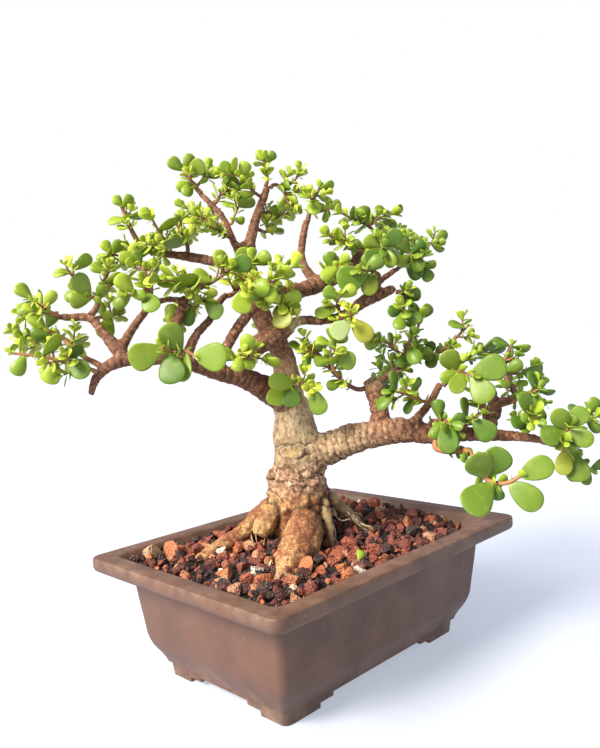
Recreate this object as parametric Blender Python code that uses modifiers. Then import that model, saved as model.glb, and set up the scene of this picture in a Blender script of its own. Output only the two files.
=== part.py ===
# Jade bonsai (dwarf jade, Portulacaria afra) in a brown training pot.
# Metres, +Z up, X along the pot's long side. The pot stands on its four feet at z = 0.
import math
import random
from collections import namedtuple

import bmesh
import bpy
from mathutils import Matrix, Vector
from mathutils.bvhtree import BVHTree

MM = 0.001
WELD = 2e-6
FINE_WELD = 1e-7
GAP = 0.3  # clearance left between pieces that touch, mm

# Driving sizes of the pot, mm
POT_LENGTH = 254.0
POT_WIDTH = 191.0
POT_HEIGHT = 87.0
RIM_CORNER = 12.0
FLOOR_TOP = 16.0
FOOT_STEP = 3.5
FOOT_ARCH = 6.3
FOOT_LONG = 30.0
FOOT_DEEP = 22.5
FOOT_INSET = 37.5
ARCH_SHOULDER = 12.0
DRAIN_HOLE = 9.0
DRAIN_AT = 52.0

# Driving sizes of what grows in it, mm
STONE = 11.6
STONE_RELIEF = 2.3
LEAF_WIDTH = 0.70
LEAF_THICK = 2.1
LEAF_SIDES = 6  # sides of the leaves placed one by one
SMALL_SIDES = 5  # sides of the leaves set by the rule
LEAF_CROWN = 0.58  # where the leaf is thickest, as a share of its length
LEAF_BLUNT = 0.7

# The tree is laid out as it is seen from its front: right, back and up, in mm from the pot's middle.
# Its front looks at the pot's near corner, so the layout is turned by this angle on the pot.
FRONT_TURN = math.radians(45.3)
EYE = Vector((-0.0016, -0.533, 0.2383))


def turned(vector):
    right, back, up = vector
    return Vector((
        right * math.cos(FRONT_TURN) + back * math.sin(FRONT_TURN),
        back * math.cos(FRONT_TURN) - right * math.sin(FRONT_TURN),
        up,
    ))


def placed(right, back, up):
    return turned((right * MM, back * MM, up * MM))


for old in list(bpy.data.objects):
    bpy.data.objects.remove(old)

plant = bpy.data.collections.new("jade_bonsai")
cutters = bpy.data.collections.new("cutters")
bpy.context.scene.collection.children.link(plant)
bpy.context.scene.collection.children.link(cutters)


def finish(name, colour, roughness):
    made = bpy.data.materials.new(name)
    made.use_nodes = True
    shader = made.node_tree.nodes["Principled BSDF"]
    shader.inputs["Base Color"].default_value = (*colour, 1.0)
    shader.inputs["Roughness"].default_value = roughness
    shader.inputs["Metallic"].default_value = 0.0
    made.diffuse_color = (*colour, 1.0)
    return made


pot_plastic = finish("brown_pot_plastic", (0.16, 0.105, 0.08), 0.55)
mesh_plastic = finish("black_mesh_plastic", (0.02, 0.02, 0.02), 0.5)
lava_rock = finish("red_lava_rock", (0.22, 0.085, 0.05), 0.9)
bark = finish("tan_bark", (0.36, 0.22, 0.13), 0.85)
leaf_green = finish("jade_leaf", (0.22, 0.45, 0.07), 0.35)


def add_object(name, bm, collection, material=None):
    mesh = bpy.data.meshes.new(name)
    bm.to_mesh(mesh)
    bm.free()
    made = bpy.data.objects.new(name, mesh)
    collection.objects.link(made)
    if material:
        mesh.materials.append(material)
    if collection is cutters:
        made.hide_render = True
        made.display_type = "WIRE"
    return made


def evaluated_mesh(obj):
    graph = bpy.context.evaluated_depsgraph_get()
    return bpy.data.meshes.new_from_object(obj.evaluated_get(graph))


def volume_of(mesh):
    bm = bmesh.new()
    bm.from_mesh(mesh)
    volume = bm.calc_volume(signed=True)
    bm.free()
    return volume


def bodies_of(bm):
    """The separate bodies of a mesh, each as a list of faces."""
    left = set(bm.faces)
    found = []
    while left:
        body = [left.pop()]
        reach = list(body)
        while reach:
            for edge in reach.pop().edges:
                for near in edge.link_faces:
                    if near in left:
                        left.remove(near)
                        body.append(near)
                        reach.append(near)
        found.append(body)
    return found


def largest_body(mesh, weld):
    """Merges doubles, drops all but the largest body and says whether that is closed."""
    bm = bmesh.new()
    bm.from_mesh(mesh)
    bmesh.ops.remove_doubles(bm, verts=bm.verts, dist=weld)
    bmesh.ops.dissolve_degenerate(bm, edges=bm.edges, dist=weld)
    for body in sorted(bodies_of(bm), key=len)[:-1]:
        bmesh.ops.delete(bm, geom=body, context="FACES")
    closed = all(edge.is_manifold for edge in bm.edges)
    bm.to_mesh(mesh)
    bm.free()
    return closed


def combine(obj, tools, operation):
    """One Boolean of the object with all the tools, applied, with the tools removed. EXACT comes first,
    and MANIFOLD or a finer weld where that leaves the body open or loses a piece of it."""
    group = bpy.data.collections.new("boolean_tools")
    bpy.context.scene.collection.children.link(group)
    whole = volume_of(obj.data)
    for tool in tools:
        group.objects.link(tool)
        if operation == "UNION":
            whole += volume_of(tool.data)
    step = obj.modifiers.new("boolean", "BOOLEAN")
    step.operand_type = "COLLECTION"
    step.collection = group
    step.operation = operation
    for solver, weld in (("EXACT", WELD), ("MANIFOLD", WELD), ("EXACT", FINE_WELD), ("MANIFOLD", FINE_WELD)):
        step.solver = solver
        mesh = evaluated_mesh(obj)
        closed = largest_body(mesh, weld)
        if closed and (operation != "UNION" or volume_of(mesh) > 0.7 * whole):
            break
    obj.modifiers.remove(step)
    old = obj.data
    obj.data = mesh
    bpy.data.meshes.remove(old)
    for tool in tools:
        bpy.data.objects.remove(tool)
    bpy.data.collections.remove(group)


def unite(name, pieces, material):
    """Joins overlapping pieces into one closed body."""
    combine(pieces[0], pieces[1:], "UNION")
    made = pieces[0]
    made.name = name
    made.data.name = name
    made.data.materials.clear()
    made.data.materials.append(material)
    return made


def tube(name, points, radii, sides, collection):
    """A round bar along the points, as a welded mesh. Points in metres, radii in mm."""
    curve = bpy.data.curves.new(name, "CURVE")
    curve.dimensions = "3D"
    curve.fill_mode = "FULL"
    curve.bevel_depth = MM
    curve.bevel_resolution = sides // 2 - 2
    curve.use_fill_caps = True
    spline = curve.splines.new("POLY")
    spline.points.add(len(points) - 1)
    for knot, point, radius in zip(spline.points, points, radii):
        knot.co = (*point, 1.0)
        knot.radius = radius
    guide = bpy.data.objects.new(name, curve)
    collection.objects.link(guide)
    mesh = evaluated_mesh(guide)
    bpy.data.objects.remove(guide)
    bm = bmesh.new()
    bm.from_mesh(mesh)
    bpy.data.meshes.remove(mesh)
    bmesh.ops.remove_doubles(bm, verts=bm.verts, dist=1e-5)
    bmesh.ops.recalc_face_normals(bm, faces=bm.faces)
    return add_object(name, bm, collection)


def box(name, low, high, collection=cutters):
    """A box between two corners in mm."""
    bm = bmesh.new()
    bmesh.ops.create_cube(bm, size=1.0)
    for vert in bm.verts:
        for axis in range(3):
            side = high[axis] if vert.co[axis] > 0 else low[axis]
            vert.co[axis] = side * MM
    return add_object(name, bm, collection)


# Pot: a moulded plastic tub. Each row is (inset from the rim's edge, height), up the outside,
# over the rim and down the inside to the floor.
WALL_PROFILE = [
    (FOOT_INSET, 0.0),
    (36.5, 9.0),
    (34.0, 10.0),
    (31.5, 16.5),
    (27.5, 23.0),
    (25.0, 31.0),
    (19.5, 76.5),
    (3.0, 77.3),
    (0.4, 78.5),
    (0.0, POT_HEIGHT - 1.0),
    (1.0, POT_HEIGHT),
]
INNER_PROFILE = [
    (13.0, POT_HEIGHT),
    (14.5, POT_HEIGHT - 1.0),
    (23.5, 75.0),
    (29.0, 31.0),
    (32.5, 21.5),
    (37.0, FLOOR_TOP),
]


def tub(name, profile, collection, material=None):
    """A rounded block grown row by row from its first face, each row an extrusion scaled to its inset."""
    bm = bmesh.new()
    bmesh.ops.create_grid(bm, x_segments=1, y_segments=1, size=0.5)
    bmesh.ops.scale(bm, vec=(POT_LENGTH * MM, POT_WIDTH * MM, 1.0), verts=bm.verts)
    bmesh.ops.bevel(
        bm, geom=list(bm.verts), offset=RIM_CORNER * MM, segments=2, profile=0.5, affect="VERTICES"
    )
    face = bm.faces[:][0]
    verts = list(bm.verts)
    half = Vector((POT_LENGTH / 2.0, POT_WIDTH / 2.0))
    now = half.copy()
    for row, (inset, height) in enumerate(profile):
        if row > 0:
            made = bmesh.ops.extrude_face_region(bm, geom=[face])["geom"]
            if row > 1:
                bmesh.ops.delete(bm, geom=[face], context="FACES_ONLY")
            face = [item for item in made if isinstance(item, bmesh.types.BMFace)][0]
            verts = list(face.verts)
        new = half - Vector((inset, inset))
        for vert in verts:
            vert.co = (vert.co.x * new.x / now.x, vert.co.y * new.y / now.y, height * MM)
        now = new
    bmesh.ops.recalc_face_normals(bm, faces=bm.faces)
    return add_object(name, bm, collection, material)


pot = tub("pot", WALL_PROFILE + INNER_PROFILE, plant, pot_plastic)

# Four corner feet are what is left of the skirt after a stepped arch is cut through it both ways.
half_long = POT_LENGTH / 2.0 - FOOT_INSET - FOOT_LONG
half_deep = POT_WIDTH / 2.0 - FOOT_INSET - FOOT_DEEP
high_long = half_long - ARCH_SHOULDER
high_deep = half_deep - ARCH_SHOULDER
arches = [
    box("arch_a", (-half_long, -POT_WIDTH, -5), (half_long, POT_WIDTH, FOOT_STEP)),
    box("arch_b", (-high_long, -POT_WIDTH, -6), (high_long, POT_WIDTH, FOOT_ARCH)),
    box("arch_c", (-POT_LENGTH, -half_deep, -7), (POT_LENGTH, half_deep, FOOT_STEP + 0.1)),
    box("arch_d", (-POT_LENGTH, -high_deep, -8), (POT_LENGTH, high_deep, FOOT_ARCH + 0.1)),
]
for side in (-1, 1):
    bm = bmesh.new()
    bmesh.ops.create_cone(
        bm, cap_ends=True, segments=20, radius1=DRAIN_HOLE * MM, radius2=DRAIN_HOLE * MM,
        depth=4.0 * FLOOR_TOP * MM, matrix=Matrix.Translation((side * DRAIN_AT * MM, 0, 0)),
    )
    arches.append(add_object("drain", bm, cutters))
combine(pot, arches, "DIFFERENCE")

# Drainage mesh: one strip of plastic screen laid over both holes before the soil goes in.
SCREEN_CELL = 8.4
SCREEN_THICK = 1.0
SCREEN_CELLS = (17, 3)
bm = bmesh.new()
bmesh.ops.create_grid(bm, x_segments=SCREEN_CELLS[0], y_segments=SCREEN_CELLS[1], size=0.5)
bmesh.ops.scale(
    bm, vec=(SCREEN_CELL * SCREEN_CELLS[0] * MM, SCREEN_CELL * SCREEN_CELLS[1] * MM, 1.0), verts=bm.verts
)
openings = []
for face in bm.faces:
    centre = face.calc_center_median()
    column = round(centre.x / (SCREEN_CELL * MM))
    line = round(centre.y / (SCREEN_CELL * MM))
    if column % 2 == 1 and line % 2 == 1 and abs(abs(centre.x) / MM - DRAIN_AT) < 16:
        openings.append(face)
bmesh.ops.delete(bm, geom=openings, context="FACES")
screen = add_object("drainage_mesh", bm, plant, mesh_plastic)
screen.data.transform(Matrix.Translation((0, 0, (FLOOR_TOP + GAP) * MM)))
wall = screen.modifiers.new("thickness", "SOLIDIFY")
wall.thickness = SCREEN_THICK * MM
wall.offset = 1.0

# Wood: each bough is a row of (right, back, up, radius) in mm along its middle.
TRUNK = [
    (-6, 2, 46, 15), (-8, 0, 78, 21), (-8, 0, 91, 22), (-8, 0, 110, 19.8), (-7, 0, 128, 17.9),
    (-7, 0, 150, 17.5), (-8, 2, 172, 15.3), (-11, 6, 192, 11), (-13, 14, 216, 8.9), (-25, 14, 244, 7.5),
    (-36, 18, 266, 6.5), (-40, 22, 288, 6.2), (-34, 24, 304, 6.2),
]
ROOTS = [
    [(-5, -14, 117, 11), (-5, -32, 104, 12.4), (-10, -50, 92, 10.6), (-19, -66, 79, 7.7),
     (-27, -80, 66, 4.4)],
    [(-24, 0, 115, 9.5), (-47, -8, 106, 9.4), (-68, -16, 95, 7.1), (-84, -24, 80, 4.9)],
    [(-20, -8, 108, 7.2), (-31, -26, 93, 5.6), (-36, -36, 78, 3.4)],
    [(6, 4, 108, 9.6), (26, 14, 94, 7.5), (46, 22, 76, 4.6)],
    [(-3, 12, 109, 12), (0, 42, 93, 8.7), (6, 64, 76, 5)],
    [(-16, 10, 111, 9.8), (-40, 31, 96, 7), (-52, 40, 79, 4.4)],
    [(-6, -6, 60, 14), (-52, -14, 48, 9), (-84, -6, 34, 5)],
    [(-6, 6, 60, 14), (44, 20, 46, 9), (80, 12, 34, 5)],
]
BOUGHS = [
    # the heavy low bough to the right, its pruned stub and its thick risers
    [(-4, 0, 147, 13), (11, -3, 150, 12.3), (28, -8, 156, 11.5), (48, -14, 161, 9.9), (70, -20, 163, 8.8),
     (89, -26, 160, 6.9), (112, -34, 160, 5.1), (133, -42, 159, 4), (151, -50, 157, 3), (163, -57, 153, 2.4)],
    [(53, -14, 162, 8), (53, -12, 181, 6.7), (51, -10, 192, 7.5), (47, -9, 200, 5)],
    [(74, -20, 167, 3.4), (87, -24, 182, 3.0), (95, -24, 195, 2.6)],
    [(118, -38, 162, 4.6), (122, -42, 168, 4.4), (128, -40, 176, 4.6), (125, -38, 189, 3.4)],
    # the arched bough to the left, with its risers
    [(-10, 0, 183, 10), (-29, -14, 199, 8.8), (-43, -24, 207, 6.9), (-58, -34, 212, 5.4),
     (-74, -44, 219, 4.8), (-89, -50, 224, 4.8), (-105, -54, 225, 5.2), (-117, -56, 224, 4.5),
     (-128, -58, 219, 3.9), (-135, -58, 210, 2.9), (-137, -58, 203, 2.3)],
    [(-114, -56, 226, 4.5), (-120, -54, 233, 4.5), (-130, -50, 245, 3), (-137, -48, 253, 3),
     (-148, -50, 254, 2.9), (-157, -52, 255, 2.3)],
    [(-117, -55, 231, 3.9), (-110, -44, 245, 3), (-99, -36, 260, 2.6)],
    [(-102, -39, 257, 2.4), (-90, -30, 263, 2.3), (-78, -27, 262, 2.3)],
    [(-88, -50, 226, 4.2), (-85, -40, 239, 3.9), (-80, -30, 255, 3.5), (-76, -26, 264, 3.1)],
    [(-78, -42, 220, 4.2), (-71, -26, 238, 3.2), (-62, -14, 249, 2.9), (-57, -6, 259, 2.8),
     (-51, 0, 266, 2.6)],
    [(-60, -34, 212, 4.3), (-51, -28, 228, 3.8), (-42, -22, 242, 3.9), (-33, -14, 253, 3.9),
     (-21, -4, 263, 4.3), (2, 10, 266, 5.9), (21, 18, 272, 6.3), (41, 28, 282, 4.9), (54, 38, 297, 3.5),
     (64, 44, 309, 2.6)],
    # the thick middle limb, cut off at a knob, and the bough that leaves it to the right
    [(-46, -25, 206, 6.2), (-35, -30, 224, 7.2), (-21, -26, 233, 7.2), (-7, -18, 241, 6.6)],
    [(-10, -20, 239, 4.6), (1, -16, 244, 3.5), (15, -14, 243, 3.4), (31, -14, 246, 3.5), (45, -12, 254, 4.6),
     (58, -8, 259, 4.2), (69, -4, 263, 3.3)],
    [(48, -12, 255, 4.2), (53, -8, 264, 3.6), (61, -2, 270, 2.4), (72, 5, 277, 2.2)],
    # the boughs of the top
    [(-36, 19, 284, 4.6), (-61, 26, 292, 4.1), (-80, 30, 297, 3.8), (-92, 26, 299, 3.2),
     (-108, 19, 301, 2.7)],
    [(-38, 22, 288, 3.7), (-46, 25, 307, 2.8), (-53, 28, 325, 2.6), (-60, 28, 334, 2.5), (-69, 30, 344, 2.3)],
    [(-34, 24, 303, 4.5), (-27, 28, 325, 3.5), (-21, 31, 339, 3.2), (-18, 32, 347, 2.6)],
    [(15, 16, 270, 4.6), (5, 22, 288, 3.1), (7, 26, 308, 3), (10, 28, 319, 2.8)],
    [(47, 33, 288, 3.0), (43, 26, 297, 2.6)],
]
TRUNK_SIDES = 10
BOUGH_SIDES = 8
THIN_SIDES = 6
TWIG_SIDES = 4
THICK_BOUGH = 7.0  # boughs that start thicker than this are rounder, mm
THICK_TWIG = 2.3


def bar(name, row, sides, collection, grow=0.0):
    """A tube along a row of (right, back, up, radius), made thicker and longer by grow."""
    points = [placed(*knot[:3]) for knot in row]
    points[0] += (points[0] - points[1]).normalized() * grow * MM
    points[-1] += (points[-1] - points[-2]).normalized() * grow * MM
    return tube(name, points, [knot[3] + grow for knot in row], sides, collection)


def woody(rows, collection, grow=0.0):
    """The trunk and the rows given, as loose bars."""
    made = [bar("trunk", TRUNK, TRUNK_SIDES, collection, grow)]
    for row in rows:
        sides = BOUGH_SIDES if row[0][3] > THICK_BOUGH else THIN_SIDES
        made.append(bar("bough", row, sides, collection, grow))
    return made


wood = unite("trunk_and_boughs", woody(ROOTS + BOUGHS, plant), bark)

# Soil: crushed lava rock fills the tub. Its top is a net of jittered points, one for each stone's corner.
random.seed(11)
LEVEL = 83.0
COLUMNS = round((POT_LENGTH - 30.0) / STONE)
LINES = round((POT_WIDTH - 30.0) / STONE)


def soil_level(x, y):
    """The height of the soil in mm: mounded at the trunk, low at the pot's right corner."""
    mound = 6.0 * math.exp(-((x / 60.0) ** 2 + (y / 52.0) ** 2))
    dip = 11.0 * math.exp(-(((x - 104.0) / 34.0) ** 2 + ((y + 78.0) / 30.0) ** 2))
    return LEVEL + mound - dip


bm = bmesh.new()
bmesh.ops.create_grid(bm, x_segments=COLUMNS, y_segments=LINES, size=0.5)
for vert in bm.verts:
    x = vert.co.x * (COLUMNS * STONE)
    y = vert.co.y * (LINES * STONE)
    x += random.uniform(-0.33, 0.33) * STONE
    y += random.uniform(-0.33, 0.33) * STONE
    lift = random.uniform(-STONE_RELIEF, STONE_RELIEF)
    vert.co = (x * MM, y * MM, (soil_level(x, y) + lift) * MM)
rim = [edge for edge in bm.edges if edge.is_boundary]
side = bmesh.ops.extrude_edge_only(bm, edges=rim)["geom"]
for item in side:
    if isinstance(item, bmesh.types.BMVert):
        item.co.z = -0.01
bmesh.ops.holes_fill(bm, edges=[edge for edge in bm.edges if edge.is_boundary], sides=0)
bmesh.ops.triangulate(bm, faces=[face for face in bm.faces if len(face.verts) == 4 and face.normal.z > 0.2])
bmesh.ops.recalc_face_normals(bm, faces=bm.faces)
soil = add_object("soil", bm, plant, lava_rock)
inside = [(inset + GAP, height) for inset, height in reversed(INNER_PROFILE)]
inside[0] = (inside[0][0], FLOOR_TOP + GAP)
inside[-1] = (INNER_PROFILE[0][0] + GAP, POT_HEIGHT + 20.0)
combine(soil, [tub("inside", inside, cutters)], "INTERSECT")
half_x = SCREEN_CELL * SCREEN_CELLS[0] / 2.0 + GAP
half_y = SCREEN_CELL * SCREEN_CELLS[1] / 2.0 + GAP
pocket = box("pocket", (-half_x, -half_y, 0), (half_x, half_y, FLOOR_TOP + SCREEN_THICK + 2.0 * GAP))
grown = unite("grown_roots", woody(ROOTS, plant, 1.5 * GAP), lava_rock)
combine(soil, [pocket, grown], "DIFFERENCE")

# Leafy sprays. A Twig is its points (right, back, up) in mm, its radius at the base, how many pairs of
# leaves the rule sets along it, their length, and the leaves that are placed one by one. Those are
# (share along the twig, clock angle in the front view, lean away from the viewer, length, roll).
Twig = namedtuple("Twig", "points radius pairs length leaves")
SPRAYS = [
    ("left_low", [
        Twig([(-130, -60, 218), (-144, -64, 223), (-159, -68, 229), (-180, -70, 233)],
             1.7, 0, 9, [(0.4, 335, -15, 20, 0), (0.48, 240, 0, 17, 0), (0.46, 32, 10, 18, 50),
             (0.66, 50, 0, 17, 40), (0.86, 240, -10, 15, 0), (0.93, 75, 0, 12, 60), (0.8, 200, 0, 12, 60)]),
    ]),
    ("left_knee", [
        Twig([(-128, -58, 221), (-139, -56, 227), (-148, -54, 235), (-156, -52, 242), (-167, -50, 248)],
             2.2, 0, 12, [(0.55, 20, 0, 14, 65), (0.84, 182, -15, 15, 0), (0.97, 130, -10, 16, 0),
             (0.96, 60, 5, 13, 10), (0.95, 250, 10, 11, 0)]),
        Twig([(-156, -52, 242), (-170, -40, 240), (-181, -30, 237)],
             1.2, 1, 12, []),
        Twig([(-165, -50, 246), (-175, -52, 245), (-182, -54, 239)],
             1.1, 1, 10, []),
    ]),
    ("left_outer", [
        Twig([(-158, -52, 255), (-163, -52, 260), (-167, -52, 264), (-172, -52, 267)],
             1.9, 0, 9, [(0.55, 50, 0, 13, 0), (0.65, 100, 10, 11, 70), (0.95, 135, -10, 15, 20),
             (0.97, 215, 0, 14, 50), (0.3, 320, 0, 12, 30)]),
        Twig([(-165, -52, 262), (-174, -36, 263), (-184, -24, 260)],
             1.1, 2, 12, []),
    ]),
    ("left_rise", [
        Twig([(-135, -47, 255), (-133, -43, 261), (-131, -40, 269), (-129, -36, 277), (-127, -30, 284)],
             2.4, 2, 13, [(0.7, 20, 0, 15, 40), (0.95, 150, -10, 13, 30)]),
        Twig([(-131, -42, 265), (-136, -44, 267), (-143, -46, 272), (-146, -46, 278), (-146, -46, 285)],
             1.4, 0, 9, [(0.12, 178, -20, 18, 0), (0.18, 120, -25, 19, 0), (0.5, 215, 0, 12, 20),
             (0.98, 40, 0, 16, 40), (0.96, 185, 0, 14, 60), (0.8, 330, 0, 12, 30)]),
    ]),
    ("left_inner", [
        Twig([(-99, -35, 262), (-99, -31, 271), (-102, -28, 280), (-107, -24, 290), (-112, -20, 299)],
             2.2, 3, 13, [(0.75, 160, -20, 15, 10)]),
        Twig([(-100, -31, 270), (-105, -38, 269), (-112, -42, 267)],
             1.3, 1, 11, [(0.35, 300, -25, 19, 0), (0.75, 130, -20, 17, 0),
             (0.9, 215, 0, 15, 10), (0.95, 330, 10, 13, 0)]),
    ]),
    ("left_dark", [
        Twig([(-133, -46, 253), (-131, -32, 253), (-126, -20, 255)],
             1.5, 1, 13, [(0.8, 250, -30, 19, 0), (0.9, 60, 0, 13, 20)]),
    ]),
    ("left_spire", [
        Twig([(-110, 18, 301), (-115, 15, 309), (-118, 14, 315), (-121, 12, 324), (-124, 10, 334)],
             2.6, 1, 10, [(0.75, 185, 0, 15, 50), (0.78, 10, 0, 14, 50),
             (0.97, 120, 0, 11, 20), (0.97, 50, 0, 12, 20)]),
        Twig([(-113, 17, 306), (-119, 8, 301), (-125, 2, 298), (-130, -6, 298)],
             1.4, 2, 12, [(0.98, 120, -10, 12, 10), (0.98, 200, -10, 12, 10),
             (0.97, 250, -10, 13, 10), (0.95, 60, 0, 12, 20)]),
    ]),
    ("left_flat", [
        Twig([(-90, 27, 298), (-94, 18, 306), (-98, 12, 314), (-102, 8, 323)],
             1.7, 2, 12, [(0.97, 140, 0, 14, 20), (0.7, 30, 0, 15, 40), (0.45, 170, 0, 12, 10)]),
        Twig([(-92, 22, 302), (-97, 4, 302), (-104, -10, 301)],
             1.4, 1, 14, [(0.6, 15, -10, 19, 55), (0.75, 200, -20, 22, 55),
             (0.5, 30, -10, 17, 60), (0.95, 180, 0, 14, 50)]),
    ]),
    ("left_knot", [
        Twig([(-80, 30, 298), (-81, 28, 306), (-83, 26, 312), (-87, 26, 320)],
             1.8, 2, 11, []),
        Twig([(-81, 28, 306), (-86, 48, 315), (-91, 66, 324)],
             1.3, 2, 12, []),
    ]),
    ("left_long", [
        Twig([(-76, -26, 264), (-68, -24, 269), (-62, -20, 272), (-52, -22, 277), (-45, -24, 282)],
             2.0, 1, 14, [(0.95, 120, -20, 17, 10), (0.95, 20, -20, 19, 0), (0.6, 160, -10, 16, 20)]),
        Twig([(-63, -21, 271), (-68, -32, 272), (-78, -40, 274), (-90, -46, 275)],
             1.4, 3, 17, [(0.5, 175, -15, 21, 50), (0.8, 10, 0, 19, 45)]),
    ]),
    ("left_behind", [
        Twig([(-86, -38, 238), (-89, -14, 247), (-88, 8, 253), (-85, 28, 256)],
             1.8, 3, 14, []),
    ]),
    ("left_under", [
        Twig([(-79, -28, 256), (-71, -26, 258), (-63, -28, 261)],
             1.5, 1, 14, [(0.9, 320, -20, 18, 10), (0.3, 250, -10, 15, 0)]),
    ]),
    ("arch_big", [
        Twig([(-80, -48, 222), (-82, -60, 227), (-84, -66, 228), (-86, -72, 232)],
             2.2, 0, 16, [(0.95, 200, -15, 24, 0), (0.75, 285, -25, 24, 10)]),
        Twig([(-82, -60, 227), (-73, -64, 228), (-67, -70, 225)],
             1.6, 0, 12, [(0.35, 115, -20, 22, 0), (0.9, 352, -20, 25, 0), (0.55, 262, -20, 21, 40)]),
    ]),
    ("arch_top", [
        Twig([(-48, -31, 214), (-42, -44, 221), (-38, -54, 225)],
             1.5, 1, 9, [(0.5, 150, -10, 13, 0), (0.95, 60, -10, 14, 0),
             (0.8, 255, -20, 12, 0), (0.6, 330, 0, 13, 0)]),
        Twig([(-42, -44, 221), (-34, -46, 221), (-26, -46, 220)],
             1.1, 1, 9, [(0.7, 130, 0, 14, 60), (0.9, 345, 0, 15, 50)]),
    ]),
    ("trunk_twig", [
        Twig([(-21, -20, 204), (-12, -26, 201), (-3, -30, 200), (6, -32, 199)],
             1.6, 0, 9, [(0.62, 165, -25, 20, 0), (0.25, 262, -25, 19, 0), (0.5, 280, -25, 18, 0),
             (0.97, 290, -10, 22, 30), (0.8, 40, 0, 12, 60)]),
    ]),
    ("mid_big", [
        Twig([(-47, 4, 266), (-40, 0, 273), (-34, -6, 280), (-31, -14, 286)],
             2.0, 1, 13, [(0.72, 100, -25, 20, 0), (0.7, 285, -25, 17, 0), (0.95, 20, -20, 17, 0)]),
        Twig([(-37, -3, 276), (-34, -24, 271), (-33, -40, 267)],
             1.4, 1, 13, [(0.9, 250, -25, 21, 0), (0.8, 350, -20, 17, 0)]),
    ]),
    ("mid_top", [
        Twig([(-26, -8, 258), (-22, -26, 266), (-17, -36, 272)],
             1.6, 2, 15, [(0.6, 200, -20, 15, 0), (0.9, 260, -20, 16, 0)]),
        Twig([(-21, -28, 266), (-11, -28, 274), (-3, -26, 280)],
             1.3, 2, 15, []),
    ]),
    ("mid_olive", [
        Twig([(-14, 2, 263), (-11, -14, 259), (-12, -26, 256)],
             1.4, 1, 11, [(0.6, 260, -20, 15, 0), (0.9, 262, -20, 21, 20),
             (0.9, 20, -10, 16, 0), (0.4, 320, -20, 17, 0)]),
    ]),
    ("top_left", [
        Twig([(-69, 30, 344), (-74, 30, 352), (-78, 30, 357), (-80, 30, 362)],
             2.1, 0, 10, [(0.55, 250, -20, 14, 0), (0.5, 200, -15, 14, 0), (0.95, 140, -15, 15, 0),
             (0.88, 15, -25, 19, 0), (0.97, 60, -10, 14, 10)]),
        Twig([(-72, 30, 348), (-67, 36, 356), (-63, 38, 363)],
             1.3, 1, 12, [(0.6, 20, 0, 15, 10)]),
    ]),
    ("top_left_mid", [
        Twig([(-59, 28, 333), (-54, 32, 342), (-51, 34, 348)],
             1.5, 2, 13, []),
        Twig([(-53, 32, 342), (-45, 28, 346), (-38, 26, 350)],
             1.2, 2, 12, []),
    ]),
    ("top_left_dark", [
        Twig([(-51, 28, 318), (-61, 44, 325), (-75, 58, 333), (-87, 66, 341)],
             1.6, 4, 11, []),
    ]),
    ("top_left_low", [
        Twig([(-46, 25, 307), (-53, 12, 312), (-61, 2, 315), (-69, -6, 317)],
             1.6, 3, 13, []),
    ]),
    ("top_twig", [
        Twig([(-47, 27, 317), (-44, 26, 325), (-40, 26, 332)],
             1.4, 1, 11, [(0.95, 165, 0, 13, 60), (0.95, 20, 0, 14, 40), (0.35, 350, 10, 9, 20)]),
    ]),
    ("top_mid", [
        Twig([(-23, 31, 338), (-30, 28, 344), (-36, 26, 351), (-41, 24, 357)],
             1.5, 2, 13, [(0.95, 150, -10, 15, 10), (0.8, 60, -10, 13, 0), (0.2, 215, -10, 16, 0)]),
    ]),
    ("top_spire", [
        Twig([(-18, 31, 349), (-18, 30, 357), (-19, 29, 366)],
             1.6, 3, 10, [(0.9, 120, 0, 11, 10), (0.9, 40, 0, 11, 10)]),
    ]),
    ("top_right", [
        Twig([(-15, 32, 348), (-6, 34, 346), (1, 34, 349), (5, 34, 353)],
             1.6, 2, 12, []),
        Twig([(-6, 34, 346), (-4, 30, 335), (1, 28, 330)],
             1.1, 2, 12, []),
    ]),
    ("top_back", [
        Twig([(-23, 32, 328), (-16, 48, 330), (-9, 62, 330), (-2, 76, 331)],
             1.6, 4, 12, []),
    ]),
    ("top_stub", [
        Twig([(-28, 25, 314), (-21, 34, 313), (-14, 42, 321), (-9, 48, 331)],
             1.6, 2, 12, []),
    ]),
    ("apex_right", [
        Twig([(12, 28, 323), (16, 30, 335), (19, 30, 339), (21, 30, 343)],
             2.0, 1, 9, [(0.7, 265, -30, 17, 0), (0.7, 165, 0, 13, 50),
             (0.95, 20, 0, 13, 40), (0.8, 330, 0, 10, 50)]),
        Twig([(13, 28, 324), (19, 30, 325), (28, 32, 327)],
             1.3, 1, 9, [(0.9, 160, 0, 11, 0), (0.95, 30, 0, 11, 0), (0.85, 260, 0, 10, 30)]),
    ]),
    ("shelf_left", [
        Twig([(19, 18, 273), (24, 4, 278), (31, -8, 281)],
             1.6, 2, 14, [(0.9, 215, -20, 17, 20), (0.6, 100, -10, 14, 0)]),
    ]),
    ("fork_left", [
        Twig([(50, 38, 294), (41, 26, 298), (34, 20, 301), (26, 16, 305)],
             1.7, 3, 13, []),
    ]),
    ("fork_up", [
        Twig([(63, 44, 309), (56, 40, 315), (47, 34, 318), (37, 30, 323)],
             1.7, 3, 13, [(0.3, 100, -10, 15, 10)]),
        Twig([(58, 41, 314), (67, 44, 320), (76, 42, 322)],
             1.3, 1, 11, [(0.9, 30, 0, 13, 40), (0.9, 150, 0, 13, 40), (0.6, 330, 0, 14, 50)]),
    ]),
    ("fork_front", [
        Twig([(55, 38, 299), (57, 20, 295), (59, 0, 292), (61, -14, 291)],
             1.8, 1, 13, [(0.98, 40, -20, 18, 10), (0.97, 220, -25, 18, 0),
             (0.97, 300, -20, 17, 30), (0.95, 150, -10, 15, 0)]),
        Twig([(59, 6, 293), (69, 6, 294), (79, 4, 292), (83, 0, 286)],
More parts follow.
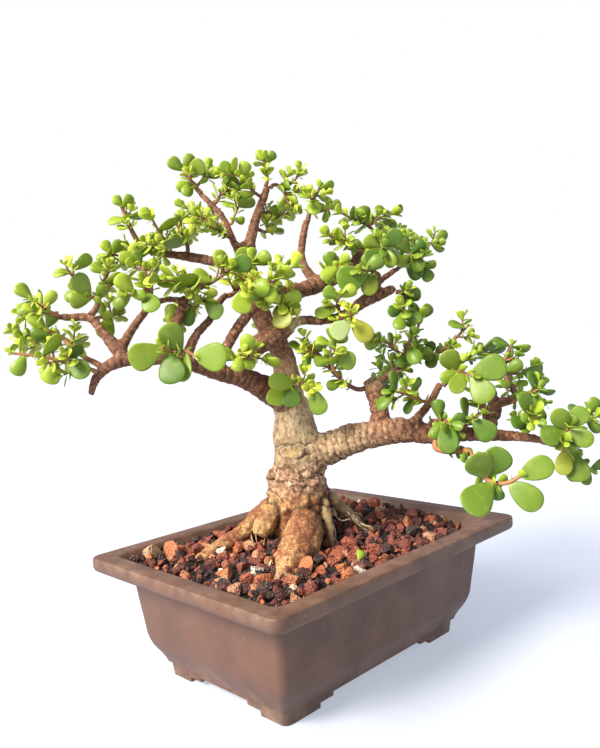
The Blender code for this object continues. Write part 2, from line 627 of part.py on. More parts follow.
             1.4, 2, 13, [(0.95, 130, -20, 15, 10), (0.95, 40, -10, 14, 10),
             (0.95, 300, -20, 16, 10), (0.95, 215, -20, 15, 10)]),
    ]),
    ("fork_tip", [
        Twig([(65, 46, 309), (79, 52, 303), (96, 58, 302), (113, 60, 299)],
             1.8, 3, 12, [(0.95, 40, 0, 15, 20), (0.9, 330, 0, 13, 50)]),
        Twig([(72, 49, 307), (77, 68, 313), (86, 84, 318)],
             1.3, 2, 12, []),
    ]),
    ("shelf_yellow", [
        Twig([(62, -3, 270), (54, -14, 275), (45, -22, 276)],
             1.7, 1, 12, [(0.7, 200, -15, 26, 5), (0.5, 250, -15, 19, 0),
             (0.4, 120, -10, 16, 0), (0.9, 30, -10, 16, 0)]),
    ]),
    ("shelf_right", [
        Twig([(74, 5, 278), (83, 6, 282), (91, 4, 278)],
             1.7, 1, 13, [(0.4, 315, -20, 16, 0), (0.95, 300, -15, 14, 0), (0.9, 230, -10, 12, 0)]),
    ]),
    ("shelf_tip", [
        Twig([(70, -4, 264), (73, -6, 261), (75, -10, 252), (72, -14, 244)],
             1.7, 0, 12, [(0.35, 10, 0, 14, 20), (0.3, 60, 0, 11, 20), (0.7, 200, -20, 14, 0),
             (0.9, 250, -25, 15, 0), (0.9, 330, -25, 16, 0)]),
    ]),
    ("limb_mid", [
        Twig([(28, -14, 250), (27, -22, 255), (29, -26, 259)],
             1.5, 1, 10, [(0.3, 200, -10, 18, 50), (0.9, 150, -10, 13, 0), (0.9, 30, -10, 14, 0)]),
    ]),
    ("limb_hang", [
        Twig([(37, -16, 248), (36, -28, 243), (35, -34, 241)],
             1.6, 0, 9, [(0.9, 215, -10, 18, 0), (0.8, 310, 0, 20, 0)]),
    ]),
    ("stub_left", [
        Twig([(42, -10, 192), (33, -16, 196), (25, -22, 203), (18, -24, 211), (12, -22, 220), (1, -18, 223)],
             1.9, 0, 10, [(0.35, 200, -10, 13, 20), (0.4, 290, 0, 10, 0), (0.97, 150, 0, 13, 50),
             (0.85, 40, 0, 13, 50), (0.9, 250, 0, 14, 40)]),
        Twig([(25, -22, 203), (21, -26, 211), (20, -28, 221), (22, -28, 229)],
             1.3, 2, 12, [(0.5, 180, -10, 13, 10), (0.55, 350, -10, 18, 10),
             (0.9, 160, -10, 12, 40), (0.95, 20, 0, 12, 40)]),
    ]),
    ("stub_up", [
        Twig([(52, -9, 196), (60, -8, 201), (68, -8, 208), (74, -10, 217), (77, -14, 226)],
             2.6, 1, 12, [(0.75, 215, -15, 14, 0), (0.9, 290, -30, 17, 0)]),
        Twig([(73, -10, 215), (65, -16, 220), (59, -20, 226), (54, -22, 227)],
             1.3, 1, 10, [(0.9, 190, 0, 13, 10), (0.5, 100, 0, 12, 60)]),
        Twig([(76, -13, 224), (83, -10, 233), (86, -8, 241)],
             1.4, 1, 13, [(0.95, 120, 0, 14, 30), (0.95, 50, 0, 13, 30)]),
        Twig([(70, -8, 210), (82, -2, 212), (94, 6, 213), (103, 12, 215)],
             1.6, 3, 13, [(0.9, 200, -30, 16, 10), (0.6, 60, -10, 13, 0)]),
        Twig([(94, 6, 213), (102, 4, 216), (112, 0, 225), (120, -4, 233)],
             1.6, 0, 9, [(0.97, 165, 0, 14, 60), (0.45, 20, 0, 13, 60)]),
    ]),
    ("right_twig", [
        Twig([(92, -24, 180), (79, -34, 185), (67, -40, 191), (60, -44, 193)],
             1.6, 1, 12, [(0.95, 100, 0, 15, 50), (0.96, 220, 0, 17, 40),
             (0.6, 60, 0, 15, 60), (0.5, 240, 0, 13, 40)]),
    ]),
    ("right_rise", [
        Twig([(98, -24, 192), (102, -22, 202), (109, -18, 207), (119, -14, 211)],
             2.0, 2, 13, []),
        Twig([(100, -23, 197), (103, -36, 203), (105, -48, 204), (110, -56, 201)],
             1.5, 0, 13, [(0.9, 15, -20, 26, 0), (0.8, 230, -25, 18, 0), (0.95, 300, -25, 22, 0),
             (0.5, 120, -20, 19, 0), (0.6, 200, -10, 15, 0)]),
        Twig([(113, -17, 209), (126, -6, 214), (137, 4, 213)],
             1.3, 2, 13, [(0.6, 30, 0, 16, 50), (0.95, 10, 0, 14, 60)]),
    ]),
    ("right_dark", [
        Twig([(83, -22, 167), (89, -36, 171), (93, -46, 172), (94, -52, 170)],
             1.6, 1, 12, [(0.9, 265, -25, 22, 0), (0.7, 230, -20, 15, 0),
             (0.5, 90, 0, 15, 0), (0.95, 20, 0, 13, 30)]),
    ]),
    ("right_knee", [
        Twig([(126, -38, 167), (122, -34, 176), (119, -32, 181), (117, -30, 187)],
             2.8, 2, 13, [(0.3, 300, -20, 17, 10), (0.1, 320, -25, 22, 50), (0.8, 10, 0, 15, 30)]),
    ]),
    ("right_front", [
        Twig([(109, -33, 163), (108, -42, 170), (110, -50, 173)],
             1.5, 0, 12, [(0.6, 100, 0, 17, 60), (0.95, 315, -15, 20, 10), (0.9, 200, 0, 14, 60)]),
    ]),
    ("right_crown", [
        Twig([(142, -38, 185), (138, -36, 196), (136, -34, 205), (140, -32, 213), (143, -32, 219)],
             2.6, 0, 10, [(0.98, 160, 0, 14, 50), (0.98, 350, 0, 14, 50), (0.55, 150, -20, 14, 0),
             (0.6, 30, -20, 14, 0), (0.5, 270, -20, 14, 0)]),
        Twig([(138, -35, 200), (147, -26, 199), (154, -20, 198), (164, -16, 196)],
             1.3, 1, 12, [(0.5, 10, 0, 18, 45), (0.97, 280, 0, 14, 40), (0.9, 60, 0, 10, 0)]),
    ]),
    ("right_side", [
        Twig([(142, -40, 182), (146, -46, 187), (149, -52, 188), (153, -54, 190)],
             1.4, 1, 10, [(0.95, 110, 0, 14, 50), (0.95, 350, 0, 13, 60),
             (0.9, 290, 0, 13, 10), (0.85, 190, 0, 11, 30)]),
    ]),
    ("right_skirt", [
        Twig([(144, -50, 166), (146, -58, 171), (146, -64, 175)],
             1.5, 2, 13, [(0.9, 120, -10, 19, 40), (0.6, 180, -20, 15, 20), (0.5, 30, 0, 14, 20)]),
    ]),
    ("right_end", [
        Twig([(162, -58, 155), (163, -66, 160), (165, -72, 166)],
             1.8, 1, 14, [(0.9, 190, -20, 21, 10), (0.95, 125, -20, 19, 0),
             (0.9, 330, -25, 18, 0), (0.95, 50, -10, 18, 0)]),
        Twig([(163, -63, 157), (172, -58, 163), (183, -52, 168), (188, -48, 172)],
             1.4, 2, 13, [(0.95, 160, 0, 15, 60), (0.9, 60, 0, 14, 20), (0.8, 320, 0, 15, 40)]),
    ]),
    ("right_low", [
        Twig([(164, -58, 151), (173, -56, 149), (179, -54, 142), (186, -52, 134)],
             1.8, 0, 13, [(0.2, 255, -20, 18, 0), (0.35, 280, -20, 22, 0), (0.9, 200, 0, 16, 0),
             (0.97, 250, 0, 11, 0), (0.95, 20, 0, 13, 30)]),
    ]),
    ("under_big", [
        Twig([(85, -28, 154), (90, -36, 151), (97, -46, 151), (103, -54, 153), (107, -64, 149),
              (110, -74, 139), (116, -82, 136), (122, -86, 137), (129, -88, 141)],
             2.4, 0, 14, [(0.66, 110, -20, 17, 45), (0.72, 120, -30, 25, 0), (0.7, 60, -20, 24, 10),
             (0.78, 215, -30, 30, 0), (0.99, 25, -15, 23, 0), (0.9, 320, -20, 25, 0), (0.8, 280, 0, 12, 0)]),
    ]),
    ("back_right", [
        Twig([(50, 0, 187), (58, 24, 193), (66, 46, 200), (73, 62, 207)],
             1.8, 3, 13, []),
    ]),
    ("back_left", [
        Twig([(-20, 8, 234), (-26, 34, 239), (-29, 58, 247), (-33, 76, 254)],
             1.8, 4, 13, []),
    ]),
]
LEAF_CLEAR = 0.45  # room kept to every other piece, mm
STALK = 0.30  # the share of a leaf, from its root, that may meet the leaves beside it
USUAL_LEAF = 14.0
TRIES = 14  # places tried for a leaf whose first spot is taken
NEAR = 0.8  # leaves further apart than this share of their lengths can't meet
SEAT_STEPS = 120
SEAT_ROOM = 1.2
SEAT_CLEAR = 2.0
JOIN_STEPS = 60
THIN_TIP = 0.7
FIRST_PAIR = 0.35
FIRST_PAIR_SHORT = 0.45
LAST_PAIR = 0.985


def leaf_faces(length, width, thick, sides, start=0.0, grow=0.0):
    """The points and faces of a fleshy leaf along +X with its domed side to +Z: a low cone whose ring is
    drawn out to an egg outline, a point at the stalk. start trims the stalk, and grow swells it all round."""
    bm = bmesh.new()
    bmesh.ops.create_cone(bm, cap_ends=True, segments=sides, radius1=1.0, radius2=0.0, depth=2.0)
    ring = [vert for vert in bm.verts if vert.co.z < 0]
    turn = math.atan2(ring[0].co.y, ring[0].co.x)
    for vert in bm.verts:
        if vert not in ring:
            vert.co = (LEAF_CROWN * length, 0.0, thick + grow)
            continue
        angle = math.atan2(vert.co.y, vert.co.x) - turn
        share = max(0.0, (1.0 - math.cos(angle)) / 2.0) ** LEAF_BLUNT
        half = -math.sin(angle) * (0.49 + 0.81 * share) * width / 2.0
        out = 1.0 + 2.0 * grow / width
        along = LEAF_CROWN + (share - LEAF_CROWN) * (1.0 + 2.0 * grow / length)
        vert.co = (max(along, start) * length, half * out, -grow)
    points = [vert.co.copy() for vert in bm.verts]
    faces = [[vert.index for vert in face.verts] for face in bm.faces]
    bm.free()
    return points, faces


def leaf_matrix(root, direction, upper):
    """The frame of a leaf, in metres, from its root, its direction and roughly where its upper side looks."""
    along = direction.normalized()
    normal = (upper - along * upper.dot(along)).normalized()
    across = normal.cross(along)
    frame = Matrix((along, across, normal)).transposed().to_4x4()
    return Matrix.Translation(root) @ frame @ Matrix.Scale(MM, 4)


def tree_of(points, faces, matrix):
    return BVHTree.FromPolygons([matrix @ point for point in points], faces)


def object_tree(obj):
    faces = [list(face.vertices) for face in obj.data.polygons]
    return BVHTree.FromPolygons([vert.co for vert in obj.data.vertices], faces)


def path_length(points):
    return sum((b - a).length for a, b in zip(points, points[1:]))


def along_path(points, share):
    """The point and the direction at a share of a path's length."""
    left = share * path_length(points)
    for a, b in zip(points, points[1:]):
        length = (b - a).length
        if left <= length or b is points[-1]:
            return a + (b - a) * min(1.0, left / length), (b - a).normalized()
        left -= length


def steps_along(points, count):
    return [along_path(points, i / count)[0] for i in range(count + 1)]


def seated(points, radius):
    """Starts a twig on the wood, square to the bark and a gap clear of it, and leads it into its path."""
    samples = steps_along(points, SEAT_STEPS)
    start = 0
    for i, sample in enumerate(samples[: SEAT_STEPS * 3 // 4]):
        near, normal, _, distance = wood_tree.find_nearest(sample)
        if distance < (radius + SEAT_ROOM) * MM or (sample - near).dot(normal) < 0:
            start = i + 1
    near, normal, _, _ = wood_tree.find_nearest(samples[start])
    passed = path_length(points) * start / SEAT_STEPS + SEAT_CLEAR * MM
    rest = [points[i] for i in range(1, len(points)) if path_length(points[: i + 1]) > passed]
    return [near + normal * GAP * MM, samples[start]] + rest


def twig_radii(twig, count, on_wood):
    """Twigs taper to the tip, and one that sits on the wood is narrower where it meets the bark."""
    tip = max(THIN_TIP, twig.radius * 0.55)
    radii = [twig.radius + (tip - twig.radius) * i / (count - 1) for i in range(count)]
    if on_wood:
        radii[0] = 0.6 * twig.radius
    return radii


# A Spray is its name, the stems (each a path and its Twig), their bars and the leaves set on them.
Spray = namedtuple("Spray", "name stems bars trees leaves")
wood_tree = object_tree(wood)
sprays = []
for name, twigs in SPRAYS:
    spray = Spray(name, [], [], [], [])
    for twig in twigs:
        path = [placed(*point) for point in twig.points]
        on_wood = not spray.stems
        if on_wood:
            path = seated(path, twig.radius)
        else:
            samples = [sample for stem, _ in spray.stems for sample in steps_along(stem, JOIN_STEPS)]
            path[0] = min(samples, key=lambda sample: (sample - path[0]).length)
        radii = twig_radii(twig, len(path), on_wood)
        sides = THIN_SIDES if radii[1] > THICK_TWIG else TWIG_SIDES
        bar_made = tube("twig", path, radii, sides, plant)
        spray.stems.append((path, twig))
        spray.bars.append(bar_made)
        spray.trees.append(object_tree(bar_made))
    sprays.append(spray)


def fits(spray, leaf):
    """True where a leaf crosses no wood, no other spray and, past its stalk, no leaf or twig of its own."""
    if leaf["wide"].overlap(wood_tree):
        return False
    for other in sprays:
        for tree in other.trees:
            if other is spray:
                if leaf["outer"].overlap(tree):
                    return False
            elif leaf["wide"].overlap(tree) or leaf["tree"].overlap(tree):
                return False
        for near in other.leaves:
            if (near["centre"] - leaf["centre"]).length > (near["length"] + leaf["length"]) * NEAR * MM:
                continue
            if other is spray:
                if leaf["outer"].overlap(near["outer"]):
                    return False
            elif leaf["wide"].overlap(near["tree"]) or leaf["tree"].overlap(near["wide"]):
                return False
    return True


def set_leaf(spray, root, direction, upper, length, sides, draw):
    """Places a leaf as asked, or bent, turned or shortened a little where that spot is taken."""
    for attempt in range(TRIES):
        reach = attempt / TRIES
        bend = Vector([draw.uniform(-1, 1) for _ in range(3)]) * reach * 1.1
        along = (direction + bend).normalized()
        size = length * (1.0 - 0.25 * reach)
        shape = (size, LEAF_WIDTH * size, LEAF_THICK * (0.75 + 0.25 * size / USUAL_LEAF), sides)
        matrix = leaf_matrix(root + along * 0.2 * MM, along, upper)
        leaf = {
            "matrix": matrix, "shape": shape, "length": size,
            "centre": matrix @ Vector((LEAF_CROWN * size, 0.0, 0.0)),
            "tree": tree_of(*leaf_faces(*shape), matrix),
            "wide": tree_of(*leaf_faces(*shape, grow=LEAF_CLEAR), matrix),
            "outer": tree_of(*leaf_faces(*shape, start=STALK, grow=0.1), matrix),
        }
        if fits(spray, leaf):
            spray.leaves.append(leaf)
            return


def view_direction(clock, lean):
    clock = math.radians(clock)
    lean = math.radians(lean)
    ahead = math.cos(lean)
    return turned((ahead * math.cos(clock), math.sin(lean), ahead * math.sin(clock)))


def own_leaves(spray, draw):
    """The large leaves, each placed as it is seen from the front, its face towards the viewer."""
    for path, twig in spray.stems:
        for share, clock, lean, length, roll in twig.leaves:
            root, _ = along_path(path, share)
            direction = view_direction(clock, lean)
            upper = Matrix.Rotation(math.radians(roll), 3, direction) @ (turned(EYE) - root)
            set_leaf(spray, root, direction, upper, length, LEAF_SIDES, draw)


def leaf_pairs(spray, draw):
    """The rule for the rest: opposite pairs up the twig, each at right angles to the pair below it,
    shorter and closer to the twig towards the tip."""
    for path, twig in spray.stems:
        if not twig.pairs:
            continue
        start = FIRST_PAIR if len(path) > 3 else FIRST_PAIR_SHORT
        turn = draw.uniform(0.0, math.pi)
        for pair in range(twig.pairs):
            share = 1.0 if twig.pairs == 1 else start + (1.0 - start) * pair / (twig.pairs - 1)
            share = min(share, LAST_PAIR)
            root, heading = along_path(path, share)
            side = Matrix.Rotation(turn, 3, heading) @ heading.orthogonal().normalized()
            spread = math.radians(62.0 - 26.0 * share + draw.uniform(-8.0, 8.0))
            length = twig.length * (1.08 - 0.30 * share) * draw.uniform(0.9, 1.1)
            for sign in (-1.0, 1.0):
                direction = heading * math.cos(spread) + side * sign * math.sin(spread)
                upper = heading + Vector((0.0, 0.0, 0.5))
                set_leaf(spray, root, direction, upper, length, SMALL_SIDES, draw)
            turn += math.pi / 2.0 + draw.uniform(-0.25, 0.25)


for index, spray in enumerate(sprays):
    own_leaves(spray, random.Random(100 + index))
for index, spray in enumerate(sprays):
    leaf_pairs(spray, random.Random(500 + index))

for spray in sprays:
    pieces = spray.bars
    for leaf in spray.leaves:
        points, faces = leaf_faces(*leaf["shape"])
        mesh = bpy.data.meshes.new("leaf")
        mesh.from_pydata([leaf["matrix"] @ point for point in points], [], faces)
        blade = bpy.data.objects.new("leaf", mesh)
        plant.objects.link(blade)
        pieces.append(blade)
    unite("spray_" + spray.name, pieces, leaf_green)

# The part's origin is the middle of its footprint, at the feet.
corners = [vert.co for made in plant.objects for vert in made.data.vertices]
middle_x = (min(corner.x for corner in corners) + max(corner.x for corner in corners)) / 2.0
middle_y = (min(corner.y for corner in corners) + max(corner.y for corner in corners)) / 2.0
pieces = list(plant.objects)
stand = bpy.data.objects.new("jade_bonsai", None)
plant.objects.link(stand)
stand.location = (-middle_x, -middle_y, 0.0)
for piece in pieces:
    piece.parent = stand
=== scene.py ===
import math
import random
from collections import namedtuple

import bpy
import numpy as np
from mathutils import Euler, Matrix, Vector, noise
from mathutils.bvhtree import BVHTree


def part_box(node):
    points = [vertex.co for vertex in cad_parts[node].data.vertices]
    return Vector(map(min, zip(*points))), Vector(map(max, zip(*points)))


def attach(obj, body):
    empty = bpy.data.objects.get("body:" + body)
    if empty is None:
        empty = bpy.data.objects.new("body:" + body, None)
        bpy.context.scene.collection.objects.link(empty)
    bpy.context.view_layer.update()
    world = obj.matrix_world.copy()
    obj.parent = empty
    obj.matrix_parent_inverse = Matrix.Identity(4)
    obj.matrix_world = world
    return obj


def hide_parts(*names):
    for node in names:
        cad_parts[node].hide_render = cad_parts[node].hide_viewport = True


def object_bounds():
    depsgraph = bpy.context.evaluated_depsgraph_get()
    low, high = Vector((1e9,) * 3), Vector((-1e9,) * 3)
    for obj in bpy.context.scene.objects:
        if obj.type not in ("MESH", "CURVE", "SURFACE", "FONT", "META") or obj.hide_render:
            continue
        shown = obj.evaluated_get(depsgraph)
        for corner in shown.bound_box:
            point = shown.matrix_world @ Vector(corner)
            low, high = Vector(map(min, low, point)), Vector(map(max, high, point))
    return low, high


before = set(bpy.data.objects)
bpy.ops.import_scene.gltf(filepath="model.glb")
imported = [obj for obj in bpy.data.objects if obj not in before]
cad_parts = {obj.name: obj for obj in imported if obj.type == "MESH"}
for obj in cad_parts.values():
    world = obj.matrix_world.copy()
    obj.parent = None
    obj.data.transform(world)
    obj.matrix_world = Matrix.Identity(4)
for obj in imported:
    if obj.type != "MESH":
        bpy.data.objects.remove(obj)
cad_low, cad_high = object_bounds()
MM = 0.001

# The camera stands where the photograph was taken from: in front of the pot's near corner, a little
# above the soil, level but for a slight dip and a slight tilt of the frame.
FRONT_TURN = math.radians(45.3)
CAMERA_AT = (-1.6, -533.0, 238.3)
CAMERA_DIP = math.radians(3.52)
CAMERA_ROLL = math.radians(-3.27)
FOCAL_PIXELS = 738.0
PHOTO_HEIGHT = 748.0
SENSOR = 36.0

pot_low, pot_high = (Vector(corner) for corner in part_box("pot"))
pot_middle = Vector(((pot_low.x + pot_high.x) / 2.0, (pot_low.y + pot_high.y) / 2.0, 0.0))


def turned(vector):
    """A direction given as seen from the front (right, back, up), on the pot's own axes."""
    right, back, up = vector
    return Vector((
        right * math.cos(FRONT_TURN) + back * math.sin(FRONT_TURN),
        back * math.cos(FRONT_TURN) - right * math.sin(FRONT_TURN),
        up,
    ))


def placed(right, back, up):
    """A point given in mm as seen from the front, right, back and up from the pot's middle."""
    return pot_middle + turned((right * MM, back * MM, up * MM))


camera_data = bpy.data.cameras.new("camera")
camera_data.sensor_width = SENSOR
camera_data.lens = SENSOR * FOCAL_PIXELS / PHOTO_HEIGHT
camera_data.clip_start = 0.01
camera = bpy.data.objects.new("camera", camera_data)
bpy.context.scene.collection.objects.link(camera)
camera.matrix_world = (
    Matrix.Translation(placed(*CAMERA_AT))
    @ Matrix.Rotation(-FRONT_TURN, 4, "Z")
    @ Matrix.Rotation(math.pi / 2.0 - CAMERA_DIP, 4, "X")
    @ Matrix.Rotation(CAMERA_ROLL, 4, "Z")
)
bpy.context.scene.camera = camera

# Studio: a wide pale floor in a white surround, a soft warm key light high on the left and a dim cool
# sky, so that the left wall of the pot is bright and the right one lies in shade.
FLOOR_SIZE = 12.0
FLOOR_TINT = (0.31, 0.335, 0.40)
FLOOR_GLOW = (0.39, 0.42, 0.485)
BACKDROP = (1.0, 1.0, 1.0)
SKY_TINT = (0.90, 0.95, 1.08)
SKY_STRENGTH = 0.57
KEY_FROM = (-1.0, -0.82, 1.0)
KEY_SPREAD = math.radians(24.0)
KEY_POWER = 7.4
KEY_TINT = (1.0, 0.91, 0.79)
FILL_FROM = (-1.0, -0.35, 0.45)
FILL_SPREAD = math.radians(80.0)
FILL_POWER = 1.9
FILL_TINT = (1.0, 0.97, 0.93)


Skin = namedtuple("Skin", "material tree shader coordinates")


def wire(tree, node, inputs):
    """Sets each input of a node to a value, or joins it to another node's output."""
    for key, value in inputs.items():
        if isinstance(value, bpy.types.NodeSocket):
            tree.links.new(value, node.inputs[key])
        else:
            node.inputs[key].default_value = value


def add_node(tree, kind, inputs=None, **settings):
    """A shader node with its settings and inputs."""
    made = tree.nodes.new("ShaderNode" + kind)
    for key, value in settings.items():
        setattr(made, key, value)
    wire(tree, made, inputs or {})
    return made


def new_skin(name, roughness):
    """A material under way, with its shader and the coordinates of the object that wears it."""
    made = bpy.data.materials.new(name)
    made.use_nodes = True
    tree = made.node_tree
    shader = tree.nodes["Principled BSDF"]
    shader.inputs["Roughness"].default_value = roughness
    return Skin(made, tree, shader, add_node(tree, "TexCoord").outputs["Object"])


def finish(skin, colour, normal):
    wire(skin.tree, skin.shader, {"Base Color": colour, "Normal": normal})


def clad(piece, skin):
    piece.data.materials.clear()
    piece.data.materials.append(skin.material)


def noise_of(skin, scale, detail=4.0, rough=0.55, vector=None):
    """A noise on the object's own coordinates, with scale as features per metre."""
    inputs = {"Vector": vector or skin.coordinates, "Scale": scale, "Detail": detail, "Roughness": rough}
    return add_node(skin.tree, "TexNoise", inputs).outputs["Fac"]


def cells_of(skin, scale):
    """The distance to the middle of a cell, for specks and pores."""
    inputs = {"Vector": skin.coordinates, "Scale": scale}
    return add_node(skin.tree, "TexVoronoi", inputs).outputs["Distance"]


def attribute_of(skin, name):
    return add_node(skin.tree, "Attribute", attribute_name=name).outputs["Fac"]


def math_of(skin, operation, *values):
    return add_node(skin.tree, "Math", dict(enumerate(values)), operation=operation).outputs[0]


def ramp_of(skin, factor, stops):
    """A colour ramp whose stops are (place, colour)."""
    made = add_node(skin.tree, "ValToRGB", {"Fac": factor})
    ramp = made.color_ramp
    while len(ramp.elements) < len(stops):
        ramp.elements.new(0.5)
    for element, (place, colour) in zip(ramp.elements, stops):
        element.position = place
        element.color = (*colour, 1.0)
    return made.outputs["Color"]


def mixed(skin, factor, *colours):
    """Two colours mixed by a factor."""
    first, second = [(*colour, 1.0) if isinstance(colour, tuple) else colour for colour in colours]
    return add_node(skin.tree, "Mix", {0: factor, 6: first, 7: second}, data_type="RGBA").outputs[2]


def between(skin, value, low, high, to_low=0.0, to_high=1.0):
    """A value spread from one range to another, held at both ends."""
    inputs = {0: value, 1: low, 2: high, 3: to_low, 4: to_high}
    return add_node(skin.tree, "MapRange", inputs, clamp=True).outputs[0]


def layered(skin, colour, layers):
    """Tints laid over a colour, each as (value, where it starts, where it is full, how much, tint)."""
    for value, low, high, much, tint in layers:
        colour = mixed(skin, between(skin, value, low, high, 0.0, much), colour, tint)
    return colour


def bump_of(skin, height, strength, distance, below=None):
    inputs = {"Height": height, "Strength": strength, "Distance": distance}
    if below is not None:
        inputs["Normal"] = below
    return add_node(skin.tree, "Bump", inputs).outputs["Normal"]


bpy.context.scene.view_settings.view_transform = "Standard"
world = bpy.context.scene.world or bpy.data.worlds.new("surround")
bpy.context.scene.world = world
world.use_nodes = True
surround = world.node_tree
sky = surround.nodes["Background"]
wire(surround, sky, {"Color": (*SKY_TINT, 1.0), "Strength": SKY_STRENGTH})
backdrop = add_node(surround, "Background", {"Color": (*BACKDROP, 1.0)})
seen_straight = add_node(surround, "LightPath").outputs["Is Camera Ray"]
either = add_node(surround, "MixShader", {0: seen_straight, 1: sky.outputs[0], 2: backdrop.outputs[0]})
wire(surround, surround.nodes["World Output"], {"Surface": either.outputs[0]})

bpy.ops.mesh.primitive_plane_add(size=FLOOR_SIZE, location=(0.0, 0.0, 0.0))
floor = bpy.context.object
floor.name = "studio_floor"
skin = new_skin("studio_paper", 0.9)
paper = mixed(skin, noise_of(skin, 3.0), FLOOR_TINT, tuple(0.97 * value for value in FLOOR_TINT))
wire(skin.tree, skin.shader, {
    "Base Color": paper, "Emission Color": (*FLOOR_GLOW, 1.0), "Emission Strength": 1.0,
})
clad(floor, skin)

for name, origin, spread, power, tint in (
    ("key_light", KEY_FROM, KEY_SPREAD, KEY_POWER, KEY_TINT),
    ("fill_light", FILL_FROM, FILL_SPREAD, FILL_POWER, FILL_TINT),
):
    data = bpy.data.lights.new(name, "SUN")
    data.angle = spread
    data.energy = power
    data.color = tint
    light = bpy.data.objects.new(name, data)
    bpy.context.scene.collection.objects.link(light)
    light.rotation_euler = turned(origin).to_track_quat("Z", "Y").to_euler()

# Pot: one injection-moulded tub of matte brown plastic, with a broad flat rim, a wall that curves in
# to the base, and four stepped corner feet left between arches. Its rim is dusty and worn pale.
POT_LENGTH = 254.0
POT_WIDTH = 191.0
POT_HEIGHT = 87.0
RIM_CORNER = 7.5
CORNER_STEPS = 6
FLOOR_TOP = 16.0
FOOT_STEP = 3.5
FOOT_ARCH = 6.3
FOOT_LONG = 30.0
FOOT_DEEP = 22.5
FOOT_INSET = 37.5
ARCH_SHOULDER = 12.0
DRAIN_HOLE = 9.0
DRAIN_AT = 52.0
DRAIN_DEPTH = 60.0
SMOOTH_BELOW = math.radians(40.0)
HALF_LONG = POT_LENGTH / 2.0
HALF_WIDE = POT_WIDTH / 2.0
WALL_ROWS = [
    (FOOT_INSET, 0.0), (36.5, 9.0), (34.4, 10.2), (33.6, 12.6), (31.5, 16.5), (29.4, 19.6), (27.5, 23.0),
    (26.0, 26.8), (25.0, 31.0), (23.8, 41.0), (22.0, 55.0), (20.2, 71.0), (19.3, 76.0), (17.6, 76.9),
    (3.6, 77.2), (1.4, 77.6), (0.5, 78.6), (0.0, 80.0), (0.0, 85.6), (0.4, 86.6), (1.4, POT_HEIGHT),
    (7.0, POT_HEIGHT - 0.2), (11.8, POT_HEIGHT), (13.2, 86.7), (14.2, 85.8), (14.9, 84.2),
    (23.5, 75.0), (26.8, 50.0), (29.0, 31.0), (32.5, 21.5), (37.0, FLOOR_TOP),
]


def on_pot(x, y, z):
    """A point in mm on the pot's own axes, from its middle."""
    return pot_middle + Vector((x, y, z)) * MM


def only(piece, mode=None):
    """Makes this piece the one that is selected and worked on."""
    if bpy.context.object and bpy.context.object.mode != "OBJECT":
        bpy.ops.object.mode_set(mode="OBJECT")
    bpy.ops.object.select_all(action="DESELECT")
    piece.select_set(True)
    bpy.context.view_layer.objects.active = piece
    if mode:
        bpy.ops.object.mode_set(mode=mode)


def grow_tub(name, rows, corner_steps):
    """A moulded tub: a rounded rectangle grown up its rows of (inset from the rim's edge, height)."""
    bpy.ops.mesh.primitive_plane_add(size=1.0, location=(0.0, 0.0, 0.0))
    tub = bpy.context.object
    tub.name = name
    tub.data.name = name
    only(tub, "EDIT")
    bpy.ops.mesh.select_all(action="SELECT")
    bpy.ops.transform.resize(value=(POT_LENGTH * MM, POT_WIDTH * MM, 1.0))
    bpy.ops.mesh.bevel(offset=RIM_CORNER * MM, segments=corner_steps, affect="VERTICES")
    half_x, half_y, height = HALF_LONG, HALF_WIDE, 0.0
    for row, (inset, up) in enumerate(rows):
        if row > 0:
            bpy.ops.mesh.extrude_region_move()
        new_x = HALF_LONG - inset
        new_y = HALF_WIDE - inset
        by = (new_x / half_x, new_y / half_y, 1.0)
        bpy.ops.transform.resize(value=by, center_override=(0.0, 0.0, 0.0))
        bpy.ops.transform.translate(value=(0.0, 0.0, (up - height) * MM))
        half_x, half_y, height = new_x, new_y, up
    bpy.ops.mesh.select_all(action="SELECT")
    bpy.ops.mesh.normals_make_consistent(inside=False)
    bpy.ops.object.mode_set(mode="OBJECT")
    tub.data.transform(Matrix.Translation(pot_middle))
    return tub


def cutting_block(name, low, high):
    """A block between two corners in mm on the pot's axes, for cutting away what it covers."""
    middle = on_pot(*[(a + b) / 2.0 for a, b in zip(low, high)])
    bpy.ops.mesh.primitive_cube_add(size=1.0, location=middle)
    block = bpy.context.object
    block.name = name
    block.scale = [(b - a) * MM for a, b in zip(low, high)]
    bpy.ops.object.transform_apply(location=True, rotation=True, scale=True)
    return block


def cut_away(piece, blocks):
    """Cuts the blocks out of the piece and removes them."""
    for block in blocks:
        only(piece)
        step = piece.modifiers.new("cut", "BOOLEAN")
        step.operation = "DIFFERENCE"
        step.solver = "EXACT"
        step.object = block
        bpy.ops.object.modifier_apply(modifier=step.name)
        bpy.data.objects.remove(block)


def soften_edges(piece, width, segments, angle):
    """Rounds every edge sharper than an angle, and shades the rest smooth."""
    only(piece)
    step = piece.modifiers.new("round", "BEVEL")
    step.width = width * MM
    step.segments = segments
    step.limit_method = "ANGLE"
    step.angle_limit = math.radians(angle)
    bpy.ops.object.modifier_apply(modifier=step.name)
    bpy.ops.object.shade_smooth_by_angle(angle=SMOOTH_BELOW)


